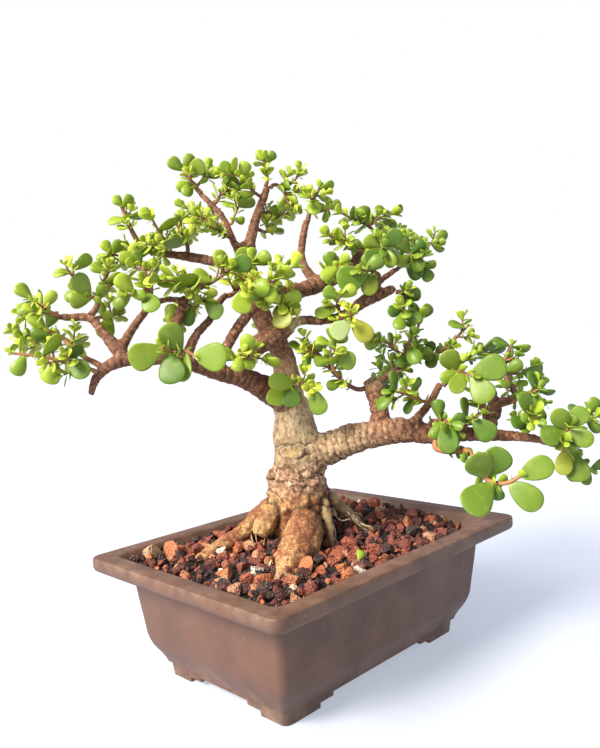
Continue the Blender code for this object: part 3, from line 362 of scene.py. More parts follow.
pot = grow_tub("training_pot", WALL_ROWS, CORNER_STEPS)
half_long = HALF_LONG - FOOT_INSET - FOOT_LONG
half_deep = HALF_WIDE - FOOT_INSET - FOOT_DEEP
high_long = half_long - ARCH_SHOULDER
high_deep = half_deep - ARCH_SHOULDER
arches = [
    cutting_block("arch_a", (-half_long, -POT_WIDTH, -5), (half_long, POT_WIDTH, FOOT_STEP)),
    cutting_block("arch_b", (-high_long, -POT_WIDTH, -6), (high_long, POT_WIDTH, FOOT_ARCH)),
    cutting_block("arch_c", (-POT_LENGTH, -half_deep, -7), (POT_LENGTH, half_deep, FOOT_STEP + 0.1)),
    cutting_block("arch_d", (-POT_LENGTH, -high_deep, -8), (POT_LENGTH, high_deep, FOOT_ARCH + 0.1)),
]
for side in (-1, 1):
    bpy.ops.mesh.primitive_cylinder_add(
        vertices=32, radius=DRAIN_HOLE * MM, depth=DRAIN_DEPTH * MM, location=on_pot(side * DRAIN_AT, 0, 0)
    )
    drain = bpy.context.object
    bpy.ops.object.transform_apply(location=True, rotation=True, scale=True)
    arches.append(drain)
cut_away(pot, arches)
soften_edges(pot, 0.5, 2, 40.0)

POT_BROWN = (0.126, 0.057, 0.033)
POT_DARK = (0.086, 0.044, 0.029)
POT_DUST = (0.26, 0.165, 0.11)
POT_GRIT = (0.42, 0.34, 0.28)
skin = new_skin("brown_pot_plastic", 0.5)
cloud = noise_of(skin, 22.0, 5.0, 0.6)
smear = noise_of(skin, 75.0, 6.0, 0.65)
height = add_node(skin.tree, "SeparateXYZ", {0: skin.coordinates}).outputs["Z"]
on_rim = between(skin, height, 0.0765, 0.0865, 0.0, 0.6)
low_down = between(skin, height, 0.022, 0.0)
body = mixed(skin, between(skin, cloud, 0.35, 0.65), POT_DARK, POT_BROWN)
for clean, dirty, place in ((0.42, 0.75, on_rim), (0.45, 0.8, low_down)):
    dust = math_of(skin, "MULTIPLY", between(skin, smear, clean, dirty), place)
    body = mixed(skin, dust, body, POT_DUST)
body = layered(skin, body, [(cells_of(skin, 210.0), 0.09, 0.04, 0.55, POT_GRIT)])
wire(skin.tree, skin.shader, {"Roughness": between(skin, cloud, 0.3, 0.7, 0.62, 0.42)})
mottle = bump_of(skin, noise_of(skin, 900.0, 3.0, 0.6), 0.25, 0.0004)
finish(skin, body, bump_of(skin, cloud, 0.2, 0.002, mottle))
clad(pot, skin)
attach(pot, "root")
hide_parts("pot")

# Drainage mesh: one strip of black plastic screen laid over both drain holes before the soil goes in.
skin = new_skin("black_screen_plastic", 0.45)
scuffs = noise_of(skin, 260.0)
screen_colour = mixed(skin, scuffs, (0.012, 0.012, 0.013), (0.035, 0.033, 0.031))
finish(skin, screen_colour, bump_of(skin, scuffs, 0.2, 0.0005))
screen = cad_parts["drainage_mesh"]
if not screen.material_slots:
    screen.data.materials.append(None)
for finish_slot in screen.material_slots:
    finish_slot.material = skin.material

# Soil: crushed lava rock and gravel fills the tub. Under several hundred loose broken stones, each one
# modelled rock shape turned and sized by a seeded draw, lies a bed of soil painted near-black: painted
# shade in the gaps between the stones.
LEVEL = 83.0
BED_DROP = 2.6
BED_ROWS = [
    (37.6, FLOOR_TOP + 0.4), (32.9, 21.6), (29.4, 31.0), (27.2, 50.0), (24.0, 74.0), (19.6, 79.6),
    (24.0, 80.2), (30.0, 80.4), (37.0, 80.6), (45.0, 80.8), (54.0, 81.0), (64.0, 81.5), (75.0, 82.0),
    (86.0, 82.5),
]
STONE_PITCH = 7.6
STONE_SIZES = (2.6, 7.6)
ROCK_SHAPES = 7
ROCK_CUTS = 13
ROCK_SEED = 40
ROCK_SMOOTH = math.radians(14.0)
GRAVEL_SEED = 3
BED_TOP = 79.0
BED_LUMPS = 1.4
FIRST_STONE = 19.0
LAST_STONE = 18.0
WALL_INSIDE = 16.8
SMALL_STONES = 1.6
WHITE_SHARE = 0.006
STONE_KINDS = (
    0.0, 0.06, 0.1, 0.14, 0.2, 0.26, 0.3, 0.33, 0.38, 0.42, 0.46, 0.5, 0.56, 0.62, 0.76,
)


def soil_level(x, y):
    """The height of the soil in mm: mounded at the trunk, low at the pot's right corner."""
    mound = 6.0 * math.exp(-((x / 60.0) ** 2 + (y / 52.0) ** 2))
    dip = 11.0 * math.exp(-(((x - 104.0) / 34.0) ** 2 + ((y + 78.0) / 30.0) ** 2))
    return LEVEL + mound - dip


bed = grow_tub("soil_bed", BED_ROWS, CORNER_STEPS)
only(bed, "EDIT")
bpy.ops.mesh.select_mode(type="EDGE")
bpy.ops.mesh.select_all(action="DESELECT")
bpy.ops.object.mode_set(mode="OBJECT")
for edge in bed.data.edges:
    ends = [bed.data.vertices[index].co for index in edge.vertices]
    edge.select = (ends[0] - ends[1]).length > 0.03 and abs(ends[0].z - ends[1].z) < 1e-5
bpy.ops.object.mode_set(mode="EDIT")
bpy.ops.mesh.subdivide(number_cuts=15)
bpy.ops.mesh.select_mode(type="VERT")
bpy.ops.mesh.select_all(action="SELECT")
bpy.ops.mesh.quads_convert_to_tris()
bpy.ops.object.mode_set(mode="OBJECT")
for vert in bed.data.vertices:
    if vert.co.z > BED_TOP * MM:
        spot = (vert.co - pot_middle) / MM
        lumps = BED_LUMPS * noise.noise(spot / 6.0)
        vert.co.z = (soil_level(spot.x, spot.y) - BED_DROP + lumps) * MM

skin = new_skin("red_lava_rock", 0.85)
patches = noise_of(skin, 320.0, 5.0, 0.65)
dust = noise_of(skin, 650.0, 4.0, 0.7)
rock_colour = ramp_of(skin, attribute_of(skin, "rock"), [
    (0.0, (0.012, 0.010, 0.010)), (0.14, (0.040, 0.016, 0.015)), (0.30, (0.110, 0.028, 0.022)),
    (0.48, (0.225, 0.050, 0.030)), (0.62, (0.42, 0.125, 0.045)), (0.75, (0.46, 0.21, 0.11)),
    (0.87, (0.46, 0.31, 0.19)), (0.96, (0.68, 0.62, 0.50)),
])
rock_colour = layered(skin, rock_colour, [
    (patches, 0.52, 0.72, 0.5, (0.035, 0.016, 0.014)),
    (dust, 0.56, 0.72, 0.6, (0.55, 0.42, 0.34)),
])
pitted = bump_of(skin, cells_of(skin, 750.0), 0.9, 0.0012)
finish(skin, rock_colour, bump_of(skin, patches, 0.6, 0.0016, pitted))
lava_rock = skin
# the bed carries no rock value, so it takes the ramp's near-black first stop: painted shade between the
# stones
clad(bed, lava_rock)
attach(bed, "root")
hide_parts("soil")


def tag_points(mesh, name, value):
    """Writes one number, or a list with one for each point, as a named attribute of the mesh."""
    layer = mesh.attributes.get(name) or mesh.attributes.new(name, "FLOAT", "POINT")
    values = value if isinstance(value, list) else [value] * len(mesh.vertices)
    layer.data.foreach_set("value", values)


def break_rock(index):
    """One broken rock about 1 mm in radius: a ball knocked flat by random planes."""
    draw = random.Random(ROCK_SEED + index)
    bpy.ops.mesh.primitive_ico_sphere_add(subdivisions=2, radius=1.0, location=(0.0, 0.0, 0.0))
    rock = bpy.context.object
    rock.name = "rock_shape"
    planes = []
    for _ in range(ROCK_CUTS):
        facing = Vector([draw.gauss(0, 1) for _ in range(3)]).normalized()
        planes.append((facing, draw.uniform(0.38, 0.80)))
    for vert in rock.data.vertices:
        for facing, reach in planes:
            past = vert.co.dot(facing) - reach
            if past > 0:
                vert.co -= facing * past
        vert.co += noise.noise_vector(vert.co * 1.7 + Vector((index * 9.0, 0.0, 0.0))) * 0.07
    only(rock)
    bpy.ops.object.shade_smooth_by_angle(angle=ROCK_SMOOTH)
    return rock


def smooth(piece):
    only(piece)
    bpy.ops.object.shade_smooth()


def join_pieces(name, pieces):
    """Joins the pieces into one named object."""
    only(pieces[0])
    for piece in pieces:
        piece.select_set(True)
    bpy.ops.object.join()
    made = pieces[0]
    made.name = name
    made.data.name = name
    return made


def set_copy(shape, matrix):
    """A copy of a modelled shape with its own mesh, moved into place."""
    made = shape.copy()
    made.data = shape.data.copy()
    made.data.transform(matrix)
    bpy.context.scene.collection.objects.link(made)
    return made


def wood_depth(point):
    """How far a point lies inside the wood, in mm, or a negative distance outside it."""
    near, normal, _, distance = wood_tree.find_nearest(point)
    return -distance / MM if (point - near).dot(normal) > 0 else distance / MM


def tree_of_mesh(mesh):
    faces = [list(face.vertices) for face in mesh.polygons]
    return BVHTree.FromPolygons([vert.co for vert in mesh.vertices], faces)


wood_tree = tree_of_mesh(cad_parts["trunk_and_boughs"].data)
rocks = [break_rock(index) for index in range(ROCK_SHAPES)]
draw = random.Random(GRAVEL_SEED)
stones = []


def lay_stone(x, y, size, kind, lift):
    """One stone on the bed, half sunk, at a place in mm on the pot's axes."""
    angle = draw.uniform(0, 6.28)
    turn = Matrix.Rotation(angle, 4, Vector([draw.gauss(0, 1) for _ in range(3)]).normalized())
    stretch = [draw.uniform(low, high) for low, high in ((0.8, 1.3), (0.8, 1.15), (0.65, 1.0))]
    turn = turn @ Matrix.Diagonal((*stretch, 1.0))
    place = on_pot(x, y, soil_level(x, y) + lift)
    rock = rocks[draw.randrange(ROCK_SHAPES)]
    stone = set_copy(rock, Matrix.Translation(place) @ turn @ Matrix.Scale(size * MM, 4))
    tag_points(stone.data, "rock", kind)
    stones.append(stone)


row = 0
y = FIRST_STONE - HALF_WIDE
while y < HALF_WIDE - LAST_STONE:
    x = FIRST_STONE - HALF_LONG + (row % 2) * STONE_PITCH / 2.0
    while x < HALF_LONG - LAST_STONE:
        size = STONE_SIZES[0] + (STONE_SIZES[1] - STONE_SIZES[0]) * draw.random() ** SMALL_STONES
        spot = []
        for middle, half in ((x, HALF_LONG), (y, HALF_WIDE)):
            room = half - WALL_INSIDE - size
            spot.append(max(-room, min(room, middle + draw.uniform(-0.3, 0.3) * STONE_PITCH)))
        kind = draw.choice(STONE_KINDS) + draw.uniform(-0.05, 0.05)
        if draw.random() < WHITE_SHARE:
            kind = 1.0
        if wood_depth(on_pot(*spot, soil_level(*spot))) < 0.6 * size:
            lay_stone(*spot, size, kind, draw.uniform(-1.6, 1.2))
        x += STONE_PITCH
    y += STONE_PITCH * 0.866
    row += 1
# the stones that stand out, as (x, y, size, kind, lift): the big tan one at the left, the white one by
# the front root, the orange ones
for stone in (
    (-93, 68, 10.5, 0.86, 4.5), (-34, -74, 4.6, 1.0, 1.2), (-82, 60, 7.5, 0.66, 3.0),
    (-72, 44, 6.5, 0.42, 2.5), (-98, -18, 7.5, 0.78, 0.5), (-77, -24, 7.0, 0.97, 1.5),
    (-78, -58, 7.6, 0.66, 2.0), (-42, -66, 7.2, 0.64, 2.5), (-7, -44, 7.2, 0.50, 3.0),
    (-64, 26, 4.6, 0.97, 2.5), (-50, 22, 6.4, 0.55, 2.0), (64, -40, 8.0, 0.58, 3.0),
    (50, -56, 8.5, 0.08, 2.0), (84, -30, 7.5, 0.40, 4.0), (-92, -52, 6.6, 0.08, 1.5),
    (-60, -52, 7.0, 0.24, 1.5), (-104, 20, 6.5, 0.30, 2.0), (76, 50, 7.5, 0.30, 3.0),
    (20, -70, 6.5, 0.40, 2.0), (-20, 70, 6.5, 0.42, 2.0), (100, 20, 6.5, 0.50, 3.0),
    (40, 68, 7.0, 0.70, 2.5), (-84, -66, 5.0, 0.90, 1.0), (6, -62, 6.6, 0.12, 1.0),
):
    lay_stone(*stone)
gravel = join_pieces("lava_stones", stones)
clad(gravel, lava_rock)
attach(gravel, "root")
for rock in rocks:
    bpy.data.objects.remove(rock)

# Wood: the trunk, its surface roots and all the old boughs are one living piece. Each bough follows
# its own row of (right, back, up, radius) in mm, and the bark runs over every fork without a seam.
TRUNK = [
    (-6, 2, 46, 15), (-8, 0, 78, 21), (-8, 0, 91, 22.5), (-8, 0, 104, 23), (-7.5, 0, 114, 22.6),
    (-7, 0, 122, 21.4), (-7, 0, 130, 19.8), (-7, 0, 137, 18.4), (-7, 0, 144, 17.6), (-7, 0, 152, 17.4),
    (-8, 2, 172, 15.3), (-11, 6, 192, 11), (-13, 14, 216, 8.9), (-25, 14, 244, 7.5),
    (-36, 18, 266, 6.5), (-40, 22, 288, 6.2), (-34, 24, 304, 6.2),
]
ROOTS = [
    [(-5, -8, 104, 11), (-5, -31, 99, 12.4), (-10, -50, 90, 10.6), (-19, -66, 79, 7.7),
     (-27, -80, 66, 4.4)],
    [(-21, 0, 113, 9), (-37, -6, 103, 7.6), (-50, -12, 94.5, 6.5), (-63, -18, 88, 6), (-75, -24, 83, 5),
     (-88, -29, 76, 4)],
    [(-20, -6, 112, 8.5), (-29, -13, 106, 8.8), (-34, -18, 99, 7.4), (-36, -20, 94, 5.2)],
    [(6, 2, 113, 8), (14, 0, 114, 5.6), (22, 4, 106, 4.7), (30, 8, 97, 4), (38, 12, 88, 3.3),
     (47, 14, 77, 2.7)],
    [(6, -6, 119, 6), (10.5, -13, 112, 3.9), (12.5, -20, 102, 3.2), (13.5, -26, 90, 2.9),
     (13.5, -30, 76, 2.6)],
    [(-3, 12, 109, 12), (0, 42, 93, 8.7), (6, 64, 76, 5)],
    [(-16, 10, 111, 9.8), (-40, 31, 96, 7), (-52, 40, 79, 4.4)],
    [(-6, -6, 60, 14), (-52, -14, 48, 9), (-84, -6, 34, 5)],
    [(-6, 6, 60, 14), (44, 20, 46, 9), (80, 12, 34, 5)],
]
BOUGHS = [
    # the heavy low bough to the right, its pruned stub and its thick risers
    [(-4, 0, 147, 13), (11, -3, 150, 12.3), (28, -8, 156, 11.5), (48, -14, 161, 9.9), (70, -20, 163, 8.8),
     (89, -26, 160, 6.9), (112, -34, 160, 5.1), (133, -42, 159, 4), (151, -50, 157, 3), (163, -57, 153, 2.4)],
    [(53, -14, 162, 8), (53, -12, 181, 6.7), (51, -10, 192, 7.5), (47, -9, 200, 5)],
    [(74, -20, 167, 3.4), (87, -24, 182, 3.0), (95, -24, 195, 2.6)],
    [(118, -38, 162, 4.6), (122, -42, 168, 4.4), (128, -40, 176, 4.6), (125, -38, 189, 3.4)],
    # the arched bough to the left, with its risers
    [(-10, 0, 183, 10), (-29, -14, 199, 8.8), (-43, -24, 207, 6.9), (-58, -34, 212, 5.4),
     (-74, -44, 219, 4.8), (-89, -50, 224, 4.8), (-105, -54, 225, 5.2), (-117, -56, 224, 4.5),
     (-128, -58, 219, 3.9), (-135, -58, 210, 2.9), (-137, -58, 203, 2.3)],
    [(-114, -56, 226, 4.5), (-120, -54, 233, 4.5), (-130, -50, 245, 3), (-137, -48, 253, 3),
     (-148, -50, 254, 2.9), (-157, -52, 255, 2.3)],
    [(-117, -55, 231, 3.9), (-110, -44, 245, 3), (-99, -36, 260, 2.6)],
    [(-102, -39, 257, 2.4), (-90, -30, 263, 2.3), (-78, -27, 262, 2.3)],
    [(-88, -50, 226, 4.2), (-85, -40, 239, 3.9), (-80, -30, 255, 3.5), (-76, -26, 264, 3.1)],
    [(-78, -42, 220, 4.2), (-71, -26, 238, 3.2), (-62, -14, 249, 2.9), (-57, -6, 259, 2.8),
     (-51, 0, 266, 2.6)],
    [(-60, -34, 212, 4.3), (-51, -28, 228, 3.8), (-42, -22, 242, 3.9), (-33, -14, 253, 3.9),
     (-21, -4, 263, 4.3), (2, 10, 266, 5.9), (21, 18, 272, 6.3), (41, 28, 282, 4.9), (54, 38, 297, 3.5),
     (64, 44, 309, 2.6)],
    # the thick middle limb, cut off at a knob, and the bough that leaves it to the right
    [(-46, -25, 206, 6.2), (-35, -30, 224, 7.2), (-21, -26, 233, 7.2), (-7, -18, 241, 6.6)],
    [(-10, -20, 239, 4.6), (1, -16, 244, 3.5), (15, -14, 243, 3.4), (31, -14, 246, 3.5),
     (45, -12, 254, 4.6), (58, -8, 259, 4.2), (69, -4, 263, 3.3)],
    [(48, -12, 255, 4.2), (53, -8, 264, 3.6), (61, -2, 270, 2.4), (72, 5, 277, 2.2)],
    # the boughs of the top
    [(-36, 19, 284, 4.6), (-61, 26, 292, 4.1), (-80, 30, 297, 3.8), (-92, 26, 299, 3.2),
     (-108, 19, 301, 2.7)],
    [(-38, 22, 288, 3.7), (-46, 25, 307, 2.8), (-53, 28, 325, 2.6), (-60, 28, 334, 2.5),
     (-69, 30, 344, 2.3)],
    [(-34, 24, 303, 4.5), (-27, 28, 325, 3.5), (-21, 31, 339, 3.2), (-18, 32, 347, 2.6)],
    [(15, 16, 270, 4.6), (5, 22, 288, 3.1), (7, 26, 308, 3), (10, 28, 319, 2.8)],
    [(47, 33, 288, 3.0), (43, 26, 297, 2.6)],
]
VOXEL = 1.15
SAMPLE_STEP = 1.5
RING_PITCH = 5.2
CREASE_WIDE = 1.7
CREASE_DEEP = 1.6
CREASE_TOP = 128.0
OLD_GIRTH = 13.0
OLD_BELOW = 160.0
KNOBBY_AT = 126.0
KNOBBY_REACH = 24.0
KNOBBY_GIRTH = 11.0
CALM_ABOVE = 146.0
ROOT_RINGS = 0.2
TRUNK_RINGS = 0.15
SCAR_CALM = 0.25
MOSSY_ROOTS = (4, 5)


def grow_stem(name, points, radii, sides, steps):
    """A round stem that runs smoothly through the points. Points in metres, radii in mm."""
    bpy.ops.curve.primitive_bezier_curve_add(location=(0.0, 0.0, 0.0))
    stem = bpy.context.object
    stem.name = name
    line = stem.data
    line.dimensions = "3D"
    line.bevel_depth = MM
    line.bevel_resolution = sides // 2 - 2
    line.resolution_u = steps
    line.use_fill_caps = True
    spline = line.splines[0]
    spline.bezier_points.add(len(points) - 2)
    for knot, point, radius in zip(spline.bezier_points, points, radii):
        knot.co = point
        knot.radius = radius
        knot.handle_left_type = knot.handle_right_type = "AUTO"
    bpy.ops.object.convert(target="MESH")
    return bpy.context.object


def path_length(points):
    return sum((b - a).length for a, b in zip(points, points[1:]))


def along_path(points, share):
    """The point and the direction at a share of a path's length."""
    left = share * path_length(points)
    for a, b in zip(points, points[1:]):
        length = (b - a).length
        if left <= length or b is points[-1]:
            return a + (b - a) * min(1.0, left / length), (b - a).normalized()
        left -= length


# lumps as (the row that each belongs to, its own points): the fat front root, the knobs at the left
# of the flare and the old knob at the fork
SWELLINGS = [
    (1, [(-5, -16, 103, 11), (-5, -30, 99, 13.8), (-10, -46, 90, 13.2), (-17, -61, 80, 9.8)]),
    (0, [(-22, -4, 127, 6), (-25.5, -5, 132, 4.8), (-24, -6, 137, 4)]),
    (0, [(-23, -8, 122, 7), (-27, -9, 118, 5.4)]),
    (0, [(-34, 16, 270, 7.4), (-36, 16, 280, 8.4), (-38, 20, 290, 7.6)]),
]
wood_rows = [TRUNK] + ROOTS + BOUGHS
LAST_ROOT = len(ROOTS)
limbs = []
axes = []
for owner, row in list(enumerate(wood_rows)) + SWELLINGS:
    points = [placed(*knot[:3]) for knot in row]
    radii = [knot[3] for knot in row]
    limbs.append(grow_stem("limb", points, radii, 14, 6))
    spots = []
    run = 0.0
    for here, there, thick, next_thick in zip(points, points[1:], radii, radii[1:]):
        gap = (there - here).length / MM
        count = max(1, round(gap / SAMPLE_STEP))
        for step in range(count):
            share = step / count
            place = here.lerp(there, share) / MM
            spots.append((*place, thick + (next_thick - thick) * share, run + gap * share))
        run += gap
    if len(axes) == owner:
        axes.append(np.array(spots))
    else:
        axes[owner] = np.concatenate([axes[owner], np.array(spots)])
wood = join_pieces("bonsai_wood", limbs)
only(wood)
wood.data.remesh_voxel_size = VOXEL * MM
bpy.ops.object.voxel_remesh()
step = wood.modifiers.new("settle", "CORRECTIVE_SMOOTH")
step.factor = 0.6
step.iterations = 6
step.use_only_smooth = True
bpy.ops.object.modifier_apply(modifier=step.name)

# What each point of the bark lies on: which bough, how thick that is there, how far along it the
# point is, and how near it is to the crease where two of them meet.
bark_points = np.array([vert.co for vert in wood.data.vertices]) / MM
nearest = np.full((2, len(bark_points)), 1e9)
girths = np.zeros(len(bark_points))
runs = np.zeros(len(bark_points))
owners = np.zeros(len(bark_points), int)
for index, spots in enumerate(axes):
    best = np.full(len(bark_points), 1e9)
    which = np.zeros(len(bark_points), int)
    for number, spot in enumerate(spots):
        depth = np.sqrt(((bark_points - spot[:3]) ** 2).sum(axis=1)) - spot[3]
        closer = depth < best
        best[closer] = depth[closer]
        which[closer] = number
    first = best < nearest[0]
    nearest[1] = np.where(first, nearest[0], np.minimum(nearest[1], best))
    nearest[0] = np.where(first, best, nearest[0])
    girths[first] = spots[which[first], 3]
    runs[first] = spots[which[first], 4] + index * 3.0
    owners[first] = index
creases = np.exp(-(((nearest[1] - nearest[0]) / CREASE_WIDE) ** 2))
creases[bark_points[:, 2] > CREASE_TOP] = 0.0

# marks on the front of the trunk, as it is seen from there: cracks as rows of (right, up) and the oval
# scar of a bough that was cut off long ago, with the lip of bark that grew round it
CRACKS = [
    [(-23.6, 154.9), (-17.1, 156.7), (-12.1, 157.8), (-3.7, 158), (4, 156.9)],
    [(-3.5, 148.1), (0.8, 150), (5.7, 149.7), (11.2, 147.2)],
    [(-26.4, 131.6), (-18.7, 130.4), (-13.7, 131.6), (-8.2, 127.7), (0.1, 125.1)],
    [(-30.3, 125.4), (-22.7, 121.4), (-18.1, 116.1)],
    [(0.2, 114.3), (7.2, 113.2), (14.9, 111.3)],
    [(-22.3, 139.9), (-13.8, 140.9), (-8.4, 137), (-1.3, 138)],
    [(-0.2, 132.9), (6.3, 135.4), (10.4, 132.3)],
]
CRACK_WIDE = 0.8
CRACK_DEEP = 1.1
SCAR = (-10.4, 151.2)
SCAR_WIDE = 6.8
SCAR_TALL = 3.5
to_right = turned((1.0, 0.0, 0.0))
from_middle = bark_points - np.array(pot_middle) / MM
rights = from_middle @ np.array(to_right)
backs = from_middle @ np.array(turned((0.0, 1.0, 0.0)))
ups = bark_points[:, 2]
on_front = (backs < 0.0) & (owners <= LAST_ROOT)
gaps = np.full(len(bark_points), 1e9)
wander = [noise.noise(Vector(place) / 4.5) * 2.2 for place in bark_points]
wavy = ups + np.array(wander)
for line in CRACKS:
    for (right, up), (next_right, next_up) in zip(line, line[1:]):
        width = next_right - right
        rise = next_up - up
        share = ((rights - right) * width + (wavy - up) * rise) / (width ** 2 + rise ** 2)
        share = np.clip(share, 0.0, 1.0)
        gaps = np.minimum(gaps, np.hypot(rights - right - share * width, wavy - up - share * rise))
cracks = np.exp(-((gaps / CRACK_WIDE) ** 2)) * on_front
off_scar = np.hypot((rights - SCAR[0]) / SCAR_WIDE, (ups - SCAR[1]) / SCAR_TALL)
on_scar = (off_scar < 0.85) * on_front
lip = np.exp(-(((off_scar - 1.05) / 0.2) ** 2)) * on_front
moat = np.exp(-(((off_scar - 1.48) / 0.15) ** 2)) * on_front
carved = lip * 1.2 - moat * 0.8 - cracks * CRACK_DEEP - creases * CREASE_DEEP
# painted shade: the bark is darkened in the creases where two boughs meet, along the cracks and in the moat
# round the scar
dark = np.maximum(np.maximum(creases, cracks), moat * 0.8)

# places where the bark is of another colour, as (right, back, up, reach, how much): pale where a bough
# was cut back, and reddish at a fresh wound
PALE_CUTS = [(-4, -20, 243, 10, 1.0), (-38, 16, 290, 11, 0.8), (51, -10, 196, 9, 0.6)]
RED_CUTS = [(-22, -22, 200, 8, 1.0)]
tints = []
for cuts in (PALE_CUTS, RED_CUTS):
    tint = np.zeros(len(bark_points))
    for right, back, up, reach, much in cuts:
        away = np.sqrt((rights - right) ** 2 + (backs - back) ** 2 + (ups - up) ** 2) / reach
        tint = np.maximum(tint, much * np.clip(2.0 - 2.0 * away, 0.0, 1.0))
    tints.append(tint)
shift = []
ringed = []
girths = girths.tolist()
runs = runs.tolist()
for number, place in enumerate(bark_points):
    spot = Vector(place)
    girth = girths[number]
    if owners[number] == 0 and place[2] < OLD_BELOW:
        girth = girths[number] = max(girth, OLD_GIRTH)
    runs[number] += 2.2 * noise.noise(spot / 9.0)
    low = max(0.0, 1.0 - abs(spot.z - KNOBBY_AT) / KNOBBY_REACH) if girth > KNOBBY_GIRTH else 0.0
    rough = 0.75 + 1.7 * low
    lumps = noise.noise(spot / (0.9 * girth + 3.0)) * 0.085 * girth
    knots = max(0.0, noise.noise(spot / 6.0 + Vector((30.0, 0.0, 0.0)))) * 0.11 * girth * rough
    scales = noise.noise(spot / 2.7) * min(0.60, 0.075 * girth) * rough
    ring = runs[number] / RING_PITCH
    near_ring = abs(ring - round(ring)) * RING_PITCH
    groove = math.exp(-((near_ring / 0.85) ** 2)) * min(1.1, 0.11 * girth)
    groove *= 0.5 + abs(noise.noise(spot / 11.0)) * 2.0
    ringed.append(1.0)
    if 1 <= owners[number] <= LAST_ROOT:
        ringed[-1] = ROOT_RINGS
        lumps *= 1.4
        knots = knots * 1.3 + noise.noise(spot / 4.2) * 0.7 + noise.noise(spot / 2.2) * 0.3
        girths[number] = max(girth, OLD_GIRTH)
    if owners[number] == 0:
        ringed[-1] = TRUNK_RINGS
        if spot.z > CALM_ABOVE:
            knots *= 0.35
            scales *= 0.7
    calm = SCAR_CALM if on_scar[number] else 1.0
    shift.append((lumps + knots + scales) * calm - groove * ringed[-1] + carved[number])
outward = [vert.normal.copy() for vert in wood.data.vertices]
for vert, facing, move in zip(wood.data.vertices, outward, shift):
    vert.co += facing * move * MM
for name, values in (("dark", dark), ("scar", on_scar), ("pale", tints[0]), ("red", tints[1]),
                     ("mossy", np.isin(owners, MOSSY_ROOTS))):
    tag_points(wood.data, name, values.astype(float).tolist())
for name, values in (("girth", girths), ("run", runs), ("ringed", ringed)):
    tag_points(wood.data, name, values)
smooth(wood)

skin = new_skin("tan_bark", 0.75)
girth, run, dark, scar, pale, red, ringed, mossy = [
    attribute_of(skin, name) for name in ("girth", "run", "dark", "scar", "pale", "red", "ringed", "mossy")
]
stains = noise_of(skin, 60.0, 6.0, 0.65)
flecks = noise_of(skin, 380.0, 8.0, 0.74)
pores = noise_of(skin, 520.0, 8.0, 0.75)
worn = noise_of(skin, 42.0, 3.0, 0.6)
upright = add_node(skin.tree, "Mapping", {0: skin.coordinates, 3: (1.0, 1.0, 0.42)}).outputs[0]
streaks = noise_of(skin, 420.0, 8.0, 0.70, upright)
old_bark = ramp_of(skin, streaks, [
    (0.33, (0.17, 0.085, 0.040)), (0.43, (0.47, 0.30, 0.150)), (0.52, (0.70, 0.52, 0.285)),
    (0.68, (0.84, 0.71, 0.46)),
])
knobby_bark = ramp_of(skin, flecks, [
    (0.36, (0.050, 0.021, 0.012)), (0.45, (0.22, 0.105, 0.055)), (0.53, (0.46, 0.28, 0.15)),
    (0.62, (0.80, 0.64, 0.43)),
])
root_bark = ramp_of(skin, pores, [
    (0.34, (0.050, 0.017, 0.008)), (0.45, (0.20, 0.068, 0.025)), (0.54, (0.33, 0.130, 0.046)),
    (0.68, (0.60, 0.34, 0.14)),
])
worn_bark = ramp_of(skin, pores, [
    (0.36, (0.20, 0.085, 0.030)), (0.46, (0.47, 0.27, 0.10)), (0.56, (0.66, 0.45, 0.20)),
    (0.68, (0.80, 0.64, 0.36)),
])
young_bark = ramp_of(skin, flecks, [
    (0.32, (0.048, 0.017, 0.009)), (0.46, (0.165, 0.064, 0.030)), (0.56, (0.30, 0.135, 0.066)),
    (0.70, (0.60, 0.40, 0.24)),
])
root_bark = layered(skin, root_bark, [
    (worn, 0.50, 0.60, 0.75, worn_bark), (worn, 0.46, 0.36, 0.55, (0.15, 0.048, 0.022)),
])
height = add_node(skin.tree, "SeparateXYZ", {0: skin.coordinates}).outputs["Z"]
level = math_of(skin, "MULTIPLY_ADD", noise_of(skin, 70.0, 3.0, 0.6), 0.030, height)
bark_colour = layered(skin, old_bark, [
    (level, 0.167, 0.154, 1.0, knobby_bark),
    (level, 0.141, 0.132, 1.0, root_bark),
    (mossy, 0.0, 1.0, 0.55, (0.40, 0.34, 0.17)),
    (ringed, 0.3, 1.0, 0.6, knobby_bark),
    (girth, 11.8, 8.6, 1.0, young_bark),
    (stains, 0.50, 0.66, 0.5, (0.15, 0.056, 0.028)),
    (pale, 0.0, 1.0, 0.85, old_bark),
    (red, 0.0, 1.0, 0.7, (0.24, 0.040, 0.026)),
    (scar, 0.0, 1.0, 0.55, (0.66, 0.43, 0.17)),
    # painted shade in the creases, the cracks and the moat round the scar
    (dark, 0.25, 0.95, 0.85, (0.045, 0.019, 0.010)),
])
ring = math_of(skin, "FRACT", math_of(skin, "MULTIPLY", run, 1.0 / RING_PITCH))
ring = math_of(skin, "ABSOLUTE", math_of(skin, "SUBTRACT", ring, 0.5))
ring = math_of(skin, "MULTIPLY", between(skin, ring, 0.38, 0.48, 0.0, 0.75), ringed)
bark_colour = mixed(skin, ring, bark_colour, (0.06, 0.024, 0.013))
pitted_bark = bump_of(skin, pores, 0.6, 0.0012)
fine = bump_of(skin, flecks, 0.8, 0.0016, pitted_bark)
finish(skin, bark_colour, bump_of(skin, noise_of(skin, 150.0, 5.0, 0.6), 0.5, 0.0025, fine))
clad(wood, skin)
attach(wood, "root")
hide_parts("trunk_and_boughs")

